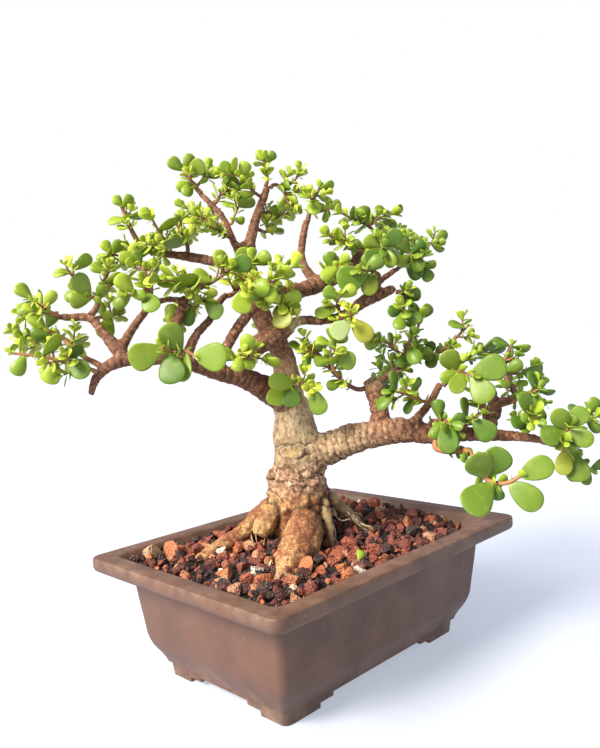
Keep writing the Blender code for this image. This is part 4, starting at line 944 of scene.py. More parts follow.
# Rootlets: the fine pale roots that hang from the heavy ones and run into the gravel, as thin as string.
ROOTLETS = [
    [(-37, -12, 100.5), (-39.5, -14, 93.2), (-38, -13, 83.3)],
    [(-34.1, -12, 101), (-33.2, -14, 91.4), (-36.1, -12, 80.7)],
    [(-40.5, -13, 101), (-42.9, -15, 95.1), (-40.6, -15, 85.6)],
    [(-32.3, -10, 96.8), (-31.4, -11, 87.5), (-33.4, -10, 78.5)],
    [(16.8, -2, 106.5), (21.3, -6, 98.4), (28.6, -6, 98.8)],
    [(25.8, 2, 104.3), (34.1, 4, 92.8), (43.5, 6, 84.2), (49.9, 5, 80.3), (54.6, 4, 72.1), (54.9, 4, 64.5)],
    [(30.8, 4, 99), (37.7, 3, 92.1), (44.7, 0, 90.3)],
    [(10.6, -15, 107.2), (16.3, -18, 96.8), (17, -20, 85.9)],
    [(-27, -56, 87.7), (-29.8, -58, 82.4), (-32.1, -58, 77.2)],
    [(-19.9, -58, 83.9), (-18.9, -60, 78.5), (-21.1, -60, 73.3)],
    [(-13.5, -56, 81.5), (-9.1, -57, 77.6), (-6.9, -57, 70.7)],
    [(-8.9, -52, 81.3), (-3.8, -53, 77.9), (-1.4, -53, 71.7)],
    [(-16.7, -59, 81.4), (-13.8, -60, 76.2), (-15.4, -60, 70.9)],
    [(-4.7, -46, 83.2), (-0.2, -48, 79.5), (1.4, -48, 73.2)],
]
ROOTLET_RADIUS = 0.75
ROOTLET_THINS = 0.35
skin = new_skin("pale_rootlet", 0.8)
wire(skin.tree, skin.shader, {"Base Color": ramp_of(skin, noise_of(skin, 400.0, 4.0, 0.6), [
    (0.35, (0.22, 0.13, 0.065)), (0.5, (0.50, 0.38, 0.22)), (0.65, (0.74, 0.64, 0.45)),
])})
strands = []
for row in ROOTLETS:
    thinning = [ROOTLET_RADIUS - ROOTLET_THINS * index / (len(row) - 1) for index in range(len(row))]
    strands.append(grow_stem("strand", [placed(*knot) for knot in row], thinning, 8, 6))
rootlets = join_pieces("rootlets", strands)
clad(rootlets, skin)
smooth(rootlets)
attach(rootlets, "root")

# Leafy sprays: each spray is a young reddish twig with its side twigs and their fleshy leaves, grown in
# opposite pairs. A Twig is its points, its radius, the pairs set by rule, their length, and the large
# leaves placed one by one as (share along, clock angle from the front, lean back, length, roll).
Twig = namedtuple("Twig", "points radius pairs length leaves")
SPRAYS = [
    ("left_low", [
        Twig([(-130, -60, 218), (-144, -64, 223), (-159, -68, 229), (-180, -70, 233)], 1.7, 0, 9,
          [(0.4, 335, -15, 20, 0), (0.48, 240, 0, 17, 0), (0.46, 32, 10, 18, 50), (0.66, 50, 0, 17, 40),
          (0.86, 240, -10, 15, 0), (0.93, 75, 0, 12, 60), (0.8, 200, 0, 12, 60)]),
    ]),
    ("left_knee", [
        Twig([(-128, -58, 221), (-139, -56, 227), (-148, -54, 235), (-156, -52, 242), (-167, -50, 248)],
          2.2, 0, 12, [(0.55, 20, 0, 14, 65), (0.84, 182, -15, 15, 0), (0.97, 130, -10, 16, 0),
          (0.96, 60, 5, 13, 10), (0.95, 250, 10, 11, 0)]),
        Twig([(-156, -52, 242), (-170, -40, 240), (-181, -30, 237)], 1.2, 1, 12, []),
        Twig([(-165, -50, 246), (-175, -52, 245), (-182, -54, 239)], 1.1, 1, 10, []),
    ]),
    ("left_outer", [
        Twig([(-158, -52, 255), (-163, -52, 260), (-167, -52, 264), (-172, -52, 267)], 1.9, 0, 9,
          [(0.55, 50, 0, 13, 0), (0.65, 100, 10, 11, 70), (0.95, 135, -10, 15, 20),
          (0.97, 215, 0, 14, 50), (0.3, 320, 0, 12, 30)]),
        Twig([(-165, -52, 262), (-174, -36, 263), (-184, -24, 260)], 1.1, 2, 12, []),
    ]),
    ("left_rise", [
        Twig([(-135, -47, 255), (-133, -43, 261), (-131, -40, 269), (-129, -36, 277), (-127, -30, 284)],
          2.4, 2, 13, [(0.7, 20, 0, 15, 40), (0.95, 150, -10, 13, 30)]),
        Twig([(-131, -42, 265), (-136, -44, 267), (-143, -46, 272), (-146, -46, 278), (-146, -46, 285)],
          1.4, 0, 9, [(0.12, 178, -20, 18, 0), (0.18, 120, -25, 19, 0), (0.5, 215, 0, 12, 20),
          (0.98, 40, 0, 16, 40), (0.96, 185, 0, 14, 60), (0.8, 330, 0, 12, 30)]),
    ]),
    ("left_inner", [
        Twig([(-99, -35, 262), (-99, -31, 271), (-102, -28, 280), (-107, -24, 290), (-112, -20, 299)],
          2.2, 3, 13, [(0.75, 160, -20, 15, 10)]),
        Twig([(-100, -31, 270), (-105, -38, 269), (-112, -42, 267)], 1.3, 1, 11, [(0.35, 300, -25, 19, 0),
          (0.75, 130, -20, 17, 0), (0.9, 215, 0, 15, 10), (0.95, 330, 10, 13, 0)]),
    ]),
    ("left_dark", [
        Twig([(-133, -46, 253), (-131, -32, 253), (-126, -20, 255)], 1.5, 1, 13, [(0.8, 250, -30, 19, 0),
          (0.9, 60, 0, 13, 20)]),
    ]),
    ("left_spire", [
        Twig([(-110, 18, 301), (-115, 15, 309), (-118, 14, 315), (-121, 12, 324), (-124, 10, 334)], 2.6,
          1, 10, [(0.75, 185, 0, 15, 50), (0.78, 10, 0, 14, 50), (0.97, 120, 0, 11, 20),
          (0.97, 50, 0, 12, 20)]),
        Twig([(-113, 17, 306), (-119, 8, 301), (-125, 2, 298), (-130, -6, 298)], 1.4, 2, 12,
          [(0.98, 120, -10, 12, 10), (0.98, 200, -10, 12, 10), (0.97, 250, -10, 13, 10),
          (0.95, 60, 0, 12, 20)]),
    ]),
    ("left_flat", [
        Twig([(-90, 27, 298), (-94, 18, 306), (-98, 12, 314), (-102, 8, 323)], 1.7, 2, 12,
          [(0.97, 140, 0, 14, 20), (0.7, 30, 0, 15, 40), (0.45, 170, 0, 12, 10)]),
        Twig([(-92, 22, 302), (-97, 4, 302), (-104, -10, 301)], 1.4, 1, 14, [(0.6, 15, -10, 19, 55),
          (0.75, 200, -20, 22, 55), (0.5, 30, -10, 17, 60), (0.95, 180, 0, 14, 50)]),
    ]),
    ("left_knot", [
        Twig([(-80, 30, 298), (-81, 28, 306), (-83, 26, 312), (-87, 26, 320)], 1.8, 2, 11, []),
        Twig([(-81, 28, 306), (-86, 48, 315), (-91, 66, 324)], 1.3, 2, 12, []),
    ]),
    ("left_long", [
        Twig([(-76, -26, 264), (-68, -24, 269), (-62, -20, 272), (-52, -22, 277), (-45, -24, 282)], 2.0,
          1, 14, [(0.95, 120, -20, 17, 10), (0.95, 20, -20, 19, 0), (0.6, 160, -10, 16, 20)]),
        Twig([(-63, -21, 271), (-68, -32, 272), (-78, -40, 274), (-90, -46, 275)], 1.4, 3, 17,
          [(0.5, 175, -15, 21, 50), (0.8, 10, 0, 19, 45)]),
    ]),
    ("left_behind", [
        Twig([(-86, -38, 238), (-89, -14, 247), (-88, 8, 253), (-85, 28, 256)], 1.8, 3, 14, []),
    ]),
    ("left_under", [
        Twig([(-79, -28, 256), (-71, -26, 258), (-63, -28, 261)], 1.5, 1, 14, [(0.9, 320, -20, 18, 10),
          (0.3, 250, -10, 15, 0)]),
    ]),
    ("arch_big", [
        Twig([(-80, -48, 222), (-82, -60, 227), (-84, -66, 228), (-86, -72, 232)], 2.2, 0, 16,
          [(0.95, 200, -15, 24, 0), (0.75, 285, -25, 24, 10)]),
        Twig([(-82, -60, 227), (-73, -64, 228), (-67, -70, 225)], 1.6, 0, 12, [(0.35, 115, -20, 22, 0),
          (0.9, 352, -20, 25, 0), (0.55, 262, -20, 21, 40)]),
    ]),
    ("arch_top", [
        Twig([(-48, -31, 214), (-42, -44, 221), (-38, -54, 225)], 1.5, 1, 9, [(0.5, 150, -10, 13, 0),
          (0.95, 60, -10, 14, 0), (0.8, 255, -20, 12, 0), (0.6, 330, 0, 13, 0)]),
        Twig([(-42, -44, 221), (-34, -46, 221), (-26, -46, 220)], 1.1, 1, 9, [(0.7, 130, 0, 14, 60),
          (0.9, 345, 0, 15, 50)]),
    ]),
    ("trunk_twig", [
        Twig([(-21, -20, 204), (-12, -26, 201), (-3, -30, 200), (6, -32, 199)], 1.6, 0, 9,
          [(0.62, 165, -25, 20, 0), (0.25, 262, -25, 19, 0), (0.5, 280, -25, 18, 0),
          (0.97, 290, -10, 22, 30), (0.8, 40, 0, 12, 60)]),
    ]),
    ("mid_big", [
        Twig([(-47, 4, 266), (-40, 0, 273), (-34, -6, 280), (-31, -14, 286)], 2.0, 1, 13,
          [(0.72, 100, -25, 20, 0), (0.7, 285, -25, 17, 0), (0.95, 20, -20, 17, 0)]),
        Twig([(-37, -3, 276), (-34, -24, 271), (-33, -40, 267)], 1.4, 1, 13, [(0.9, 250, -25, 21, 0),
          (0.8, 350, -20, 17, 0)]),
    ]),
    ("mid_top", [
        Twig([(-26, -8, 258), (-22, -26, 266), (-17, -36, 272)], 1.6, 2, 15, [(0.6, 200, -20, 15, 0),
          (0.9, 260, -20, 16, 0)]),
        Twig([(-21, -28, 266), (-11, -28, 274), (-3, -26, 280)], 1.3, 2, 15, []),
    ]),
    ("mid_olive", [
        Twig([(-14, 2, 263), (-11, -14, 259), (-12, -26, 256)], 1.4, 1, 11, [(0.6, 260, -20, 15, 0),
          (0.9, 262, -20, 21, 20), (0.9, 20, -10, 16, 0), (0.4, 320, -20, 17, 0)]),
    ]),
    ("top_left", [
        Twig([(-69, 30, 344), (-74, 30, 352), (-78, 30, 357), (-80, 30, 362)], 2.1, 0, 10,
          [(0.55, 250, -20, 14, 0), (0.5, 200, -15, 14, 0), (0.95, 140, -15, 15, 0),
          (0.88, 15, -25, 19, 0), (0.97, 60, -10, 14, 10)]),
        Twig([(-72, 30, 348), (-67, 36, 356), (-63, 38, 363)], 1.3, 1, 12, [(0.6, 20, 0, 15, 10)]),
    ]),
    ("top_left_mid", [
        Twig([(-59, 28, 333), (-54, 32, 342), (-51, 34, 348)], 1.5, 2, 13, []),
        Twig([(-53, 32, 342), (-45, 28, 346), (-38, 26, 350)], 1.2, 2, 12, []),
    ]),
    ("top_left_dark", [
        Twig([(-51, 28, 318), (-61, 44, 325), (-75, 58, 333), (-87, 66, 341)], 1.6, 4, 11, []),
    ]),
    ("top_left_low", [
        Twig([(-46, 25, 307), (-53, 12, 312), (-61, 2, 315), (-69, -6, 317)], 1.6, 3, 13, []),
    ]),
    ("top_twig", [
        Twig([(-47, 27, 317), (-44, 26, 325), (-40, 26, 332)], 1.4, 1, 11, [(0.95, 165, 0, 13, 60),
          (0.95, 20, 0, 14, 40), (0.35, 350, 10, 9, 20)]),
    ]),
    ("top_mid", [
        Twig([(-23, 31, 338), (-30, 28, 344), (-36, 26, 351), (-41, 24, 357)], 1.5, 2, 13,
          [(0.95, 150, -10, 15, 10), (0.8, 60, -10, 13, 0), (0.2, 215, -10, 16, 0)]),
    ]),
    ("top_spire", [
        Twig([(-18, 31, 349), (-18, 30, 357), (-19, 29, 366)], 1.6, 3, 10, [(0.9, 120, 0, 11, 10),
          (0.9, 40, 0, 11, 10)]),
    ]),
    ("top_right", [
        Twig([(-15, 32, 348), (-6, 34, 346), (1, 34, 349), (5, 34, 353)], 1.6, 2, 12, []),
        Twig([(-6, 34, 346), (-4, 30, 335), (1, 28, 330)], 1.1, 2, 12, []),
    ]),
    ("top_back", [
        Twig([(-23, 32, 328), (-16, 48, 330), (-9, 62, 330), (-2, 76, 331)], 1.6, 4, 12, []),
    ]),
    ("top_stub", [
        Twig([(-28, 25, 314), (-21, 34, 313), (-14, 42, 321), (-9, 48, 331)], 1.6, 2, 12, []),
    ]),
    ("apex_right", [
        Twig([(12, 28, 323), (16, 30, 335), (19, 30, 339), (21, 30, 343)], 2.0, 1, 9,
          [(0.7, 265, -30, 17, 0), (0.7, 165, 0, 13, 50), (0.95, 20, 0, 13, 40), (0.8, 330, 0, 10, 50)]),
        Twig([(13, 28, 324), (19, 30, 325), (28, 32, 327)], 1.3, 1, 9, [(0.9, 160, 0, 11, 0),
          (0.95, 30, 0, 11, 0), (0.85, 260, 0, 10, 30)]),
    ]),
    ("shelf_left", [
        Twig([(19, 18, 273), (24, 4, 278), (31, -8, 281)], 1.6, 2, 14, [(0.9, 215, -20, 17, 20),
          (0.6, 100, -10, 14, 0)]),
    ]),
    ("fork_left", [
        Twig([(50, 38, 294), (41, 26, 298), (34, 20, 301), (26, 16, 305)], 1.7, 3, 13, []),
    ]),
    ("fork_up", [
        Twig([(63, 44, 309), (56, 40, 315), (47, 34, 318), (37, 30, 323)], 1.7, 3, 13,
          [(0.3, 100, -10, 15, 10)]),
        Twig([(58, 41, 314), (67, 44, 320), (76, 42, 322)], 1.3, 1, 11, [(0.9, 30, 0, 13, 40),
          (0.9, 150, 0, 13, 40), (0.6, 330, 0, 14, 50)]),
    ]),
    ("fork_front", [
        Twig([(55, 38, 299), (57, 20, 295), (59, 0, 292), (61, -14, 291)], 1.8, 1, 13,
          [(0.98, 40, -20, 18, 10), (0.97, 220, -25, 18, 0), (0.97, 300, -20, 17, 30),
          (0.95, 150, -10, 15, 0)]),
        Twig([(59, 6, 293), (69, 6, 294), (79, 4, 292), (83, 0, 286)], 1.4, 2, 13,
          [(0.95, 130, -20, 15, 10), (0.95, 40, -10, 14, 10), (0.95, 300, -20, 16, 10),
          (0.95, 215, -20, 15, 10)]),
    ]),
    ("fork_tip", [
        Twig([(65, 46, 309), (79, 52, 303), (96, 58, 302), (113, 60, 299)], 1.8, 3, 12,
          [(0.95, 40, 0, 15, 20), (0.9, 330, 0, 13, 50)]),
        Twig([(72, 49, 307), (77, 68, 313), (86, 84, 318)], 1.3, 2, 12, []),
    ]),
    ("shelf_yellow", [
        Twig([(62, -3, 270), (54, -14, 275), (45, -22, 276)], 1.7, 1, 12, [(0.7, 200, -15, 26, 5),
          (0.5, 250, -15, 19, 0), (0.4, 120, -10, 16, 0), (0.9, 30, -10, 16, 0)]),
    ]),
    ("shelf_right", [
        Twig([(74, 5, 278), (83, 6, 282), (91, 4, 278)], 1.7, 1, 13, [(0.4, 315, -20, 16, 0),
          (0.95, 300, -15, 14, 0), (0.9, 230, -10, 12, 0)]),
    ]),
    ("shelf_tip", [
        Twig([(70, -4, 264), (73, -6, 261), (75, -10, 252), (72, -14, 244)], 1.7, 0, 12,
          [(0.35, 10, 0, 14, 20), (0.3, 60, 0, 11, 20), (0.7, 200, -20, 14, 0), (0.9, 250, -25, 15, 0),
          (0.9, 330, -25, 16, 0)]),
    ]),
    ("limb_mid", [
        Twig([(28, -14, 250), (27, -22, 255), (29, -26, 259)], 1.5, 1, 10, [(0.3, 200, -10, 18, 50),
          (0.9, 150, -10, 13, 0), (0.9, 30, -10, 14, 0)]),
    ]),
    ("limb_hang", [
        Twig([(37, -16, 248), (36, -28, 243), (35, -34, 241)], 1.6, 0, 9, [(0.9, 215, -10, 18, 0),
          (0.8, 310, 0, 20, 0)]),
    ]),
    ("stub_left", [
        Twig([(42, -10, 192), (33, -16, 196), (25, -22, 203), (18, -24, 211), (12, -22, 220),
          (1, -18, 223)], 1.9, 0, 10, [(0.35, 200, -10, 13, 20), (0.4, 290, 0, 10, 0),
          (0.97, 150, 0, 13, 50), (0.85, 40, 0, 13, 50), (0.9, 250, 0, 14, 40)]),
        Twig([(25, -22, 203), (21, -26, 211), (20, -28, 221), (22, -28, 229)], 1.3, 2, 12,
          [(0.5, 180, -10, 13, 10), (0.55, 350, -10, 18, 10), (0.9, 160, -10, 12, 40),
          (0.95, 20, 0, 12, 40)]),
    ]),
    ("stub_up", [
        Twig([(52, -9, 196), (60, -8, 201), (68, -8, 208), (74, -10, 217), (77, -14, 226)], 2.6, 1, 12,
          [(0.75, 215, -15, 14, 0), (0.9, 290, -30, 17, 0)]),
        Twig([(73, -10, 215), (65, -16, 220), (59, -20, 226), (54, -22, 227)], 1.3, 1, 10,
          [(0.9, 190, 0, 13, 10), (0.5, 100, 0, 12, 60)]),
        Twig([(76, -13, 224), (83, -10, 233), (86, -8, 241)], 1.4, 1, 13, [(0.95, 120, 0, 14, 30),
          (0.95, 50, 0, 13, 30)]),
        Twig([(70, -8, 210), (82, -2, 212), (94, 6, 213), (103, 12, 215)], 1.6, 3, 13,
          [(0.9, 200, -30, 16, 10), (0.6, 60, -10, 13, 0)]),
        Twig([(94, 6, 213), (102, 4, 216), (112, 0, 225), (120, -4, 233)], 1.6, 0, 9,
          [(0.97, 165, 0, 14, 60), (0.45, 20, 0, 13, 60)]),
    ]),
    ("right_twig", [
        Twig([(92, -24, 180), (79, -34, 185), (67, -40, 191), (60, -44, 193)], 1.6, 1, 12,
          [(0.95, 100, 0, 15, 50), (0.96, 220, 0, 17, 40), (0.6, 60, 0, 15, 60), (0.5, 240, 0, 13, 40)]),
    ]),
    ("right_rise", [
        Twig([(98, -24, 192), (102, -22, 202), (109, -18, 207), (119, -14, 211)], 2.0, 2, 13, []),
        Twig([(100, -23, 197), (103, -36, 203), (105, -48, 204), (110, -56, 201)], 1.5, 0, 13,
          [(0.9, 15, -20, 26, 0), (0.8, 230, -25, 18, 0), (0.95, 300, -25, 22, 0), (0.5, 120, -20, 19, 0),
          (0.6, 200, -10, 15, 0)]),
        Twig([(113, -17, 209), (126, -6, 214), (137, 4, 213)], 1.3, 2, 13, [(0.6, 30, 0, 16, 50),
          (0.95, 10, 0, 14, 60)]),
    ]),
    ("right_dark", [
        Twig([(83, -22, 167), (89, -36, 171), (93, -46, 172), (94, -52, 170)], 1.6, 1, 12,
          [(0.9, 265, -25, 22, 0), (0.7, 230, -20, 15, 0), (0.5, 90, 0, 15, 0), (0.95, 20, 0, 13, 30)]),
    ]),
    ("right_knee", [
        Twig([(126, -38, 167), (122, -34, 176), (119, -32, 181), (117, -30, 187)], 2.8, 2, 13,
          [(0.3, 300, -20, 17, 10), (0.1, 320, -25, 22, 50), (0.8, 10, 0, 15, 30)]),
    ]),
    ("right_front", [
        Twig([(109, -33, 163), (108, -42, 170), (110, -50, 173)], 1.5, 0, 12, [(0.6, 100, 0, 17, 60),
          (0.95, 315, -15, 20, 10), (0.9, 200, 0, 14, 60)]),
    ]),
    ("right_crown", [
        Twig([(142, -38, 185), (138, -36, 196), (136, -34, 205), (140, -32, 213), (143, -32, 219)], 2.6,
          0, 10, [(0.98, 160, 0, 14, 50), (0.98, 350, 0, 14, 50), (0.55, 150, -20, 14, 0),
          (0.6, 30, -20, 14, 0), (0.5, 270, -20, 14, 0)]),
        Twig([(138, -35, 200), (147, -26, 199), (154, -20, 198), (164, -16, 196)], 1.3, 1, 12,
          [(0.5, 10, 0, 18, 45), (0.97, 280, 0, 14, 40), (0.9, 60, 0, 10, 0)]),
    ]),
    ("right_side", [
        Twig([(142, -40, 182), (146, -46, 187), (149, -52, 188), (153, -54, 190)], 1.4, 1, 10,
          [(0.95, 110, 0, 14, 50), (0.95, 350, 0, 13, 60), (0.9, 290, 0, 13, 10),
          (0.85, 190, 0, 11, 30)]),
    ]),
    ("right_skirt", [
        Twig([(144, -50, 166), (146, -58, 171), (146, -64, 175)], 1.5, 2, 13, [(0.9, 120, -10, 19, 40),
          (0.6, 180, -20, 15, 20), (0.5, 30, 0, 14, 20)]),
    ]),
    ("right_end", [
        Twig([(162, -58, 155), (163, -66, 160), (165, -72, 166)], 1.8, 1, 14, [(0.9, 190, -20, 21, 10),
          (0.95, 125, -20, 19, 0), (0.9, 330, -25, 18, 0), (0.95, 50, -10, 18, 0)]),
        Twig([(163, -63, 157), (172, -58, 163), (183, -52, 168), (188, -48, 172)], 1.4, 2, 13,
          [(0.95, 160, 0, 15, 60), (0.9, 60, 0, 14, 20), (0.8, 320, 0, 15, 40)]),
    ]),
    ("right_low", [
        Twig([(164, -58, 151), (173, -56, 149), (179, -54, 142), (186, -52, 134)], 1.8, 0, 13,
          [(0.2, 255, -20, 18, 0), (0.35, 280, -20, 22, 0), (0.9, 200, 0, 16, 0), (0.97, 250, 0, 11, 0),
          (0.95, 20, 0, 13, 30)]),
    ]),
    ("under_big", [
        Twig([(85, -28, 154), (90, -36, 151), (97, -46, 151), (103, -54, 153), (107, -64, 149),
          (110, -74, 139), (116, -82, 136), (122, -86, 137), (129, -88, 141)], 2.4, 0, 14,
          [(0.66, 110, -20, 17, 45), (0.72, 120, -30, 25, 0), (0.7, 60, -20, 24, 10),
          (0.78, 215, -30, 30, 0), (0.99, 25, -15, 23, 0), (0.9, 320, -20, 25, 0), (0.8, 280, 0, 12, 0)]),
    ]),
    ("back_right", [
        Twig([(50, 0, 187), (58, 24, 193), (66, 46, 200), (73, 62, 207)], 1.8, 3, 13, []),
    ]),
    ("back_left", [
        Twig([(-20, 8, 234), (-26, 34, 239), (-29, 58, 247), (-33, 76, 254)], 1.8, 4, 13, []),
    ]),
]
LEAF_WIDTH = 0.70
LEAF_THICK = 2.1
LEAF_SIDES = 6
SMALL_SIDES = 5
LEAF_CROWN = 0.58
LEAF_BLUNT = 0.7
STALK = 0.30
USUAL_LEAF = 14.0
TRIES = 14
NEAR = 0.8
SEAT_STEPS = 120
SEAT_ROOM = 1.2
SEAT_CLEAR = 2.0
JOIN_STEPS = 60
THIN_TIP = 0.7
FIRST_PAIR = 0.35
FIRST_PAIR_SHORT = 0.45
LAST_PAIR = 0.985
EYE = Vector((-0.0016, -0.533, 0.2383))
PAIR_AGE = 0.8
OWN_AGE = 0.75
OWN_SIZE = 0.95
YOUNG_PITCH = 5.5
SHOOT_PITCH = 13.0
SHOOT_TRIES = 5
SHOOT_MARGIN = 5.0
SHOOT_NEAR = 30.0
BARE_ABOVE = 21.0
SHOOT_LENGTHS = (7.0, 13.0)
SHOOT_RADII = (0.8, 0.65, 0.5)
SHOOT_PAIRS = ((0.45, 62.0, 8.5), (0.75, 52.0, 7.5), (0.999, 32.0, 6.0))
OWN_SEED, PAIR_SEED, YOUNG_SEED, BLADE_SEED, SHOOT_SEED = 100, 500, 900, 1300, 1700


def model_leaf(name, segments, rings, cup, arch, blunt, base, width):
    """One fleshy leaf along +X, its face to +Z: a ball drawn out to an egg outline and a lens section.
    cup lifts its edges, arch bends it along its length, and blunt, base and width shape its outline."""
    bpy.ops.mesh.primitive_uv_sphere_add(segments=segments, ring_count=rings, location=(0.0, 0.0, 0.0))
    leaf = bpy.context.object
    leaf.name = name
    edge = []
    along = []
    for vert in leaf.data.vertices:
        angle = math.acos(max(-1.0, min(1.0, -vert.co.z)))
        around = math.atan2(vert.co.y, vert.co.x)
        share = ((1.0 - math.cos(angle)) / 2.0) ** blunt
        half = math.sin(angle) * (base + (1.30 - base) * share) * width / 2.0
        thick = 0.038 * max(0.0, math.sin(angle)) ** 0.75 * (0.75 + 0.5 * share)
        across = half * math.copysign(abs(math.cos(around)) ** 0.5, math.cos(around))
        up = thick * math.sin(around)
        up += cup * (across / (LEAF_WIDTH / 2.0)) ** 2 - arch * (share - 0.5) ** 2 + arch * 0.25
        vert.co = (share, across, up)
        edge.append(abs(math.cos(around)))
        along.append(share)
    only(leaf, "EDIT")
    bpy.ops.mesh.select_all(action="SELECT")
    bpy.ops.mesh.normals_make_consistent(inside=False)
    bpy.ops.object.mode_set(mode="OBJECT")
    smooth(leaf)
    tag_points(leaf.data, "edge", edge)
    tag_points(leaf.data, "along", along)
    return leaf


def leaf_faces(length, width, thick, sides, start, grow):
    """The points and faces of a plain leaf, used to try whether a place is free."""
    points = []
    for i in range(sides):
        angle = 2.0 * math.pi * i / sides
        share = max(0.0, (1.0 - math.cos(angle)) / 2.0) ** LEAF_BLUNT
        half = math.sin(angle) * (0.49 + 0.81 * share) * width / 2.0
        reach = LEAF_CROWN + (share - LEAF_CROWN) * (1.0 + 2.0 * grow / length)
        points.append(Vector((max(reach, start) * length, half * (1.0 + 2.0 * grow / width), -grow)))
    points.append(Vector((LEAF_CROWN * length, 0.0, thick + grow)))
    faces = [list(range(sides))] + [[i, (i + 1) % sides, sides] for i in range(sides)]
    return points, faces


def leaf_frame(root, direction, upper):
    """The place of a leaf, in metres, from its root, its direction and roughly where its face looks."""
    along = direction.normalized()
    normal = (upper - along * upper.dot(along)).normalized()
    across = normal.cross(along)
    turn = Matrix((along, across, normal)).transposed().to_4x4()
    return Matrix.Translation(root) @ turn @ Matrix.Scale(MM, 4)


def steps_along(points, count):
    return [along_path(points, i / count)[0] for i in range(count + 1)]


def seated(points, radius):
    """Starts a twig on the wood, square to the bark, and leads it into its path."""
    spots = steps_along(points, SEAT_STEPS)
    start = 0
    for i, spot in enumerate(spots[: SEAT_STEPS * 3 // 4]):
        near, normal, _, distance = wood_tree.find_nearest(spot)
        if distance < (radius + SEAT_ROOM) * MM or (spot - near).dot(normal) < 0:
            start = i + 1
    near, normal, _, _ = wood_tree.find_nearest(spots[start])
    passed = path_length(points) * start / SEAT_STEPS + SEAT_CLEAR * MM
    rest = [points[i] for i in range(1, len(points)) if path_length(points[: i + 1]) > passed]
    return [near - normal * 0.8 * MM, spots[start]] + rest


Spray = namedtuple("Spray", "name stems trees leaves")
sprays = []
for name, twigs in SPRAYS:
    spray = Spray(name, [], [], [])
    for twig in twigs:
        path = [placed(*point) for point in twig.points]
        if not spray.stems:
            path = seated(path, twig.radius)
        else:
            spots = [spot for stem, _, _ in spray.stems for spot in steps_along(stem, JOIN_STEPS)]
            path[0] = min(spots, key=lambda spot: (spot - path[0]).length)
        tip = max(THIN_TIP, twig.radius * 0.5)
        radii = [twig.radius + (tip - twig.radius) * i / (len(path) - 1) for i in range(len(path))]
        stem = grow_stem("twig", path, radii, 8, 4)
        spray.stems.append((path, twig, stem))
        spray.trees.append(tree_of_mesh(stem.data))
    sprays.append(spray)


def fits(spray, leaf):
    """True where a leaf crosses no wood, no other spray and, past its stalk, no leaf or twig of its own."""
    if leaf["tree"].overlap(wood_tree):
        return False
    for other in sprays:
        for tree_near in other.trees:
            if leaf["outer" if other is spray else "tree"].overlap(tree_near):
                return False
        for near in other.leaves:
            if (near["centre"] - leaf["centre"]).length > (near["length"] + leaf["length"]) * NEAR * MM:
                continue
            if other is spray:
                if leaf["outer"].overlap(near["outer"]):
                    return False
            elif leaf["tree"].overlap(near["tree"]):
                return False
    return True


def set_leaf(spray, root, direction, upper, length, sides, draw, age, tries=TRIES):
    """Places a leaf as asked, or bent, turned or shortened a little where that spot is taken."""
    for attempt in range(tries):
        reach = attempt / tries
        bend = Vector([draw.uniform(-1, 1) for _ in range(3)]) * reach * 1.1
        along = (direction + bend).normalized()
        size = length * (1.0 - 0.25 * reach)
        shape = (size, LEAF_WIDTH * size, LEAF_THICK * (0.75 + 0.25 * size / USUAL_LEAF), sides)
        matrix = leaf_frame(root + along * 0.2 * MM, along, upper)
        leaf = {"matrix": matrix, "length": size, "age": age,
                "centre": matrix @ Vector((LEAF_CROWN * size, 0.0, 0.0))}
        for key, start, grow in (("tree", 0.0, 0.0), ("outer", STALK, 0.1)):
            points, faces = leaf_faces(*shape, start, grow)
            leaf[key] = BVHTree.FromPolygons([matrix @ point for point in points], faces)
        if fits(spray, leaf):
            spray.leaves.append(leaf)
            return


def view_direction(clock, lean):
    clock = math.radians(clock)
    lean = math.radians(lean)
    ahead = math.cos(lean)
    return turned((ahead * math.cos(clock), math.sin(lean), ahead * math.sin(clock)))


def own_leaves(spray, draw):
    """The large leaves, each placed as it is seen from the front, its face towards the viewer."""
    for path, twig, _ in spray.stems:
        for share, clock, lean, length, roll in twig.leaves:
            root, _ = along_path(path, share)
            direction = view_direction(clock, lean)
            upper = Matrix.Rotation(math.radians(roll), 3, direction) @ (pot_middle + turned(EYE) - root)
            set_leaf(spray, root, direction, upper, OWN_SIZE * length, LEAF_SIDES, draw, OWN_AGE)


def leaf_pair(spray, path, share, turn, spread, length, draw, age, tries=TRIES):
    root, heading = along_path(path, share)
    side = Matrix.Rotation(turn, 3, heading) @ heading.orthogonal().normalized()
    upper = heading + Vector((0.0, 0.0, 0.5))
    for sign in (-1.0, 1.0):
        direction = heading * math.cos(spread) + side * sign * math.sin(spread)
        set_leaf(spray, root, direction, upper, length, SMALL_SIDES, draw, age, tries)


def leaf_pairs(spray, draw):
    """Opposite pairs up the twig, each at right angles to the pair below it, shorter towards the tip."""
    for path, twig, _ in spray.stems:
        if not twig.pairs:
            continue
        start = FIRST_PAIR if len(path) > 3 else FIRST_PAIR_SHORT
        turn = draw.uniform(0.0, math.pi)
        for pair in range(twig.pairs):
            share = 1.0 if twig.pairs == 1 else start + (1.0 - start) * pair / (twig.pairs - 1)
            share = min(share, LAST_PAIR)
            spread = math.radians(62.0 - 26.0 * share + draw.uniform(-8.0, 8.0))
            length = twig.length * (1.08 - 0.30 * share) * draw.uniform(0.9, 1.1)
            leaf_pair(spray, path, share, turn, spread, length, draw, PAIR_AGE - 0.4 * share)
            turn += math.pi / 2.0 + draw.uniform(-0.25, 0.25)


